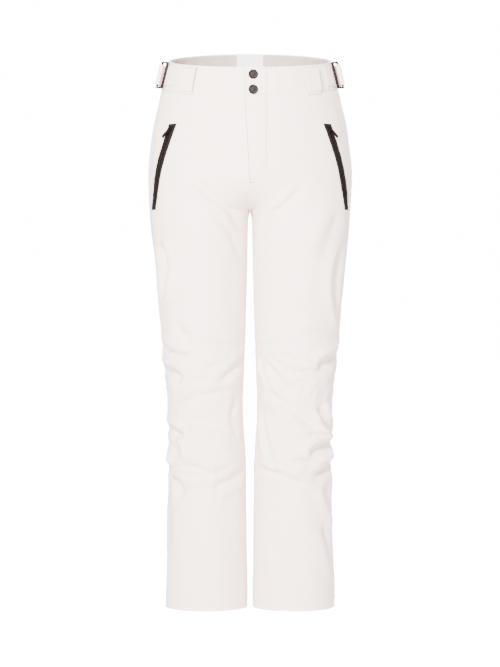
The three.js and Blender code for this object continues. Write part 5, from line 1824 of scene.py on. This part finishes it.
# ---- the add-on ---------------------------------------------------------------------------------
class SkiPantsSizes(bpy.types.PropertyGroup):
    cell: bpy.props.FloatProperty(
        name="Cloth Cell", description="Spacing of the shell cloth's grid", default=2.8 * MM, unit="LENGTH"
    )
    shell_thickness: bpy.props.FloatProperty(
        name="Shell Thickness", description="Padded shell from face to back", default=3.2 * MM,
        unit="LENGTH",
    )
    stitch_pitch: bpy.props.FloatProperty(
        name="Stitch Pitch", description="Distance from one stitch to the next", default=3.8 * MM,
        unit="LENGTH",
    )
    camera_distance: bpy.props.FloatProperty(
        name="Camera Distance", description="Camera in front of the waist's middle", default=4.0,
        unit="LENGTH",
    )
    key_power: bpy.props.FloatProperty(
        name="Key Power", description="Power of the main light in watts", default=760.0
    )
    sky_strength: bpy.props.FloatProperty(
        name="Sky Strength", description="Brightness of the light from all round", default=1.5
    )
    surround: bpy.props.FloatProperty(
        name="Surround", description="Brightness of the floor and the surround to the eye", default=16.0
    )
    shell_color: bpy.props.FloatVectorProperty(
        name="Shell Color", description="Outer cloth", default=(0.92, 0.765, 0.69), subtype="COLOR"
    )
    lining_color: bpy.props.FloatVectorProperty(
        name="Lining Color", description="Cloth inside the waist and legs",
        default=(0.5, 0.4, 0.39), subtype="COLOR",
    )
    patch_color: bpy.props.FloatVectorProperty(
        name="Patch Color", description="Blank patch inside the back", default=(0.96, 0.93, 0.9),
        subtype="COLOR",
    )
    gaiter_color: bpy.props.FloatVectorProperty(
        name="Gaiter Color", description="Gaiters inside the hems", default=(0.74, 0.71, 0.69),
        subtype="COLOR",
    )
    trim_color: bpy.props.FloatVectorProperty(
        name="Trim Color", description="Zips, snaps and rings", default=(0.0065, 0.0036, 0.0028),
        subtype="COLOR",
    )
    floor_color: bpy.props.FloatVectorProperty(
        name="Floor Color", description="Studio floor", default=(0.93, 0.925, 0.92),
        subtype="COLOR",
    )


class SKIPANTS_OT_finishes(bpy.types.Operator):
    """Mixes the cloth, metal and plastic finishes"""

    bl_idname = "ski_pants.finishes"
    bl_label = "Finishes"

    def execute(self, context):
        build_finishes(context.scene.ski_pants)
        return {"FINISHED"}


class SKIPANTS_OT_leg_panels(bpy.types.Operator):
    """Hangs the padded panels of both legs, with their folds and seams"""

    bl_idname = "ski_pants.leg_panels"
    bl_label = "Leg Panels"

    def execute(self, context):
        build_leg_panels(context.scene.ski_pants)
        return {"FINISHED"}


class SKIPANTS_OT_leg_linings(bpy.types.Operator):
    """Hangs the lining inside each leg"""

    bl_idname = "ski_pants.leg_linings"
    bl_label = "Leg Linings"

    def execute(self, context):
        build_leg_linings(context.scene.ski_pants)
        return {"FINISHED"}


class SKIPANTS_OT_hems(bpy.types.Operator):
    """Adds the hem facings, the snow gaiters and their elastic"""

    bl_idname = "ski_pants.hems"
    bl_label = "Hems and Gaiters"

    def execute(self, context):
        build_hems()
        return {"FINISHED"}


class SKIPANTS_OT_pockets(bpy.types.Operator):
    """Hangs the pocket bags behind the hip zips"""

    bl_idname = "ski_pants.pockets"
    bl_label = "Pocket Bags"

    def execute(self, context):
        build_pockets(context.scene.ski_pants)
        return {"FINISHED"}


class SKIPANTS_OT_fly(bpy.types.Operator):
    """Sews the fly flap and the shield behind it"""

    bl_idname = "ski_pants.fly"
    bl_label = "Fly"

    def execute(self, context):
        build_fly(context.scene.ski_pants)
        return {"FINISHED"}


class SKIPANTS_OT_waistband(bpy.types.Operator):
    """Sews the waistband and its two tabs"""

    bl_idname = "ski_pants.waistband"
    bl_label = "Waistband"

    def execute(self, context):
        build_waistband(context.scene.ski_pants)
        return {"FINISHED"}


class SKIPANTS_OT_waist_lining(bpy.types.Operator):
    """Lines the waistband and adds the blank patch inside the back"""

    bl_idname = "ski_pants.waist_lining"
    bl_label = "Waist Lining"

    def execute(self, context):
        build_waist_lining(context.scene.ski_pants)
        return {"FINISHED"}


class SKIPANTS_OT_hip_zips(bpy.types.Operator):
    """Lays the hip zips and models their sliders and pullers"""

    bl_idname = "ski_pants.hip_zips"
    bl_label = "Hip Zips"

    def execute(self, context):
        build_hip_zips()
        return {"FINISHED"}


class SKIPANTS_OT_fly_zip(bpy.types.Operator):
    """Lays the fly zip and models its slider and puller"""

    bl_idname = "ski_pants.fly_zip"
    bl_label = "Fly Zip"

    def execute(self, context):
        build_fly_zip()
        return {"FINISHED"}


class SKIPANTS_OT_snaps(bpy.types.Operator):
    """Models the two snaps of the waistband: caps, sockets and studs"""

    bl_idname = "ski_pants.snaps"
    bl_label = "Snaps"

    def execute(self, context):
        build_snaps()
        return {"FINISHED"}


class SKIPANTS_OT_adjusters(bpy.types.Operator):
    """Models the side adjusters: webbing straps through rectangular rings"""

    bl_idname = "ski_pants.adjusters"
    bl_label = "Side Adjusters"

    def execute(self, context):
        build_adjusters()
        return {"FINISHED"}


class SKIPANTS_OT_belt_loops(bpy.types.Operator):
    """Folds the three belt loops"""

    bl_idname = "ski_pants.belt_loops"
    bl_label = "Belt Loops"

    def execute(self, context):
        build_belt_loops()
        return {"FINISHED"}


class SKIPANTS_OT_stitching(bpy.types.Operator):
    """Adds the rows of topstitching"""

    bl_idname = "ski_pants.stitching"
    bl_label = "Stitching"

    def execute(self, context):
        build_stitching(context.scene.ski_pants)
        return {"FINISHED"}


class SKIPANTS_OT_stage(bpy.types.Operator):
    """Sets the floor, the lights and the camera"""

    bl_idname = "ski_pants.stage"
    bl_label = "Stage"

    def execute(self, context):
        build_stage(context.scene.ski_pants)
        return {"FINISHED"}


OPERATORS = (
    SKIPANTS_OT_finishes,
    SKIPANTS_OT_leg_panels,
    SKIPANTS_OT_leg_linings,
    SKIPANTS_OT_hems,
    SKIPANTS_OT_pockets,
    SKIPANTS_OT_fly,
    SKIPANTS_OT_waistband,
    SKIPANTS_OT_waist_lining,
    SKIPANTS_OT_hip_zips,
    SKIPANTS_OT_fly_zip,
    SKIPANTS_OT_snaps,
    SKIPANTS_OT_adjusters,
    SKIPANTS_OT_belt_loops,
    SKIPANTS_OT_stitching,
    SKIPANTS_OT_stage,
)


class SKIPANTS_PT_panel(bpy.types.Panel):
    """Sizes, colors and the steps that make the ski pants"""

    bl_idname = "SKIPANTS_PT_panel"
    bl_label = "Ski Pants"
    bl_space_type = "VIEW_3D"
    bl_region_type = "UI"
    bl_category = "Ski Pants"

    def draw(self, context):
        sizes = context.scene.ski_pants
        for name in sizes.__annotations__:
            self.layout.prop(sizes, name)
        for operator in OPERATORS:
            self.layout.operator(operator.bl_idname)


def register():
    for made in (SkiPantsSizes, *OPERATORS, SKIPANTS_PT_panel):
        bpy.utils.register_class(made)
    bpy.types.Scene.ski_pants = bpy.props.PointerProperty(type=SkiPantsSizes)


def unregister():
    del bpy.types.Scene.ski_pants
    for made in (SKIPANTS_PT_panel, *reversed(OPERATORS), SkiPantsSizes):
        bpy.utils.unregister_class(made)


def main():
    register()
    bpy.ops.ski_pants.finishes()
    bpy.ops.ski_pants.leg_panels()
    bpy.ops.ski_pants.leg_linings()
    bpy.ops.ski_pants.hems()
    bpy.ops.ski_pants.pockets()
    bpy.ops.ski_pants.fly()
    bpy.ops.ski_pants.waistband()
    bpy.ops.ski_pants.waist_lining()
    bpy.ops.ski_pants.hip_zips()
    bpy.ops.ski_pants.fly_zip()
    bpy.ops.ski_pants.snaps()
    bpy.ops.ski_pants.adjusters()
    bpy.ops.ski_pants.belt_loops()
    bpy.ops.ski_pants.stitching()
    bpy.ops.ski_pants.stage()


if __name__ == "__main__":
    main()
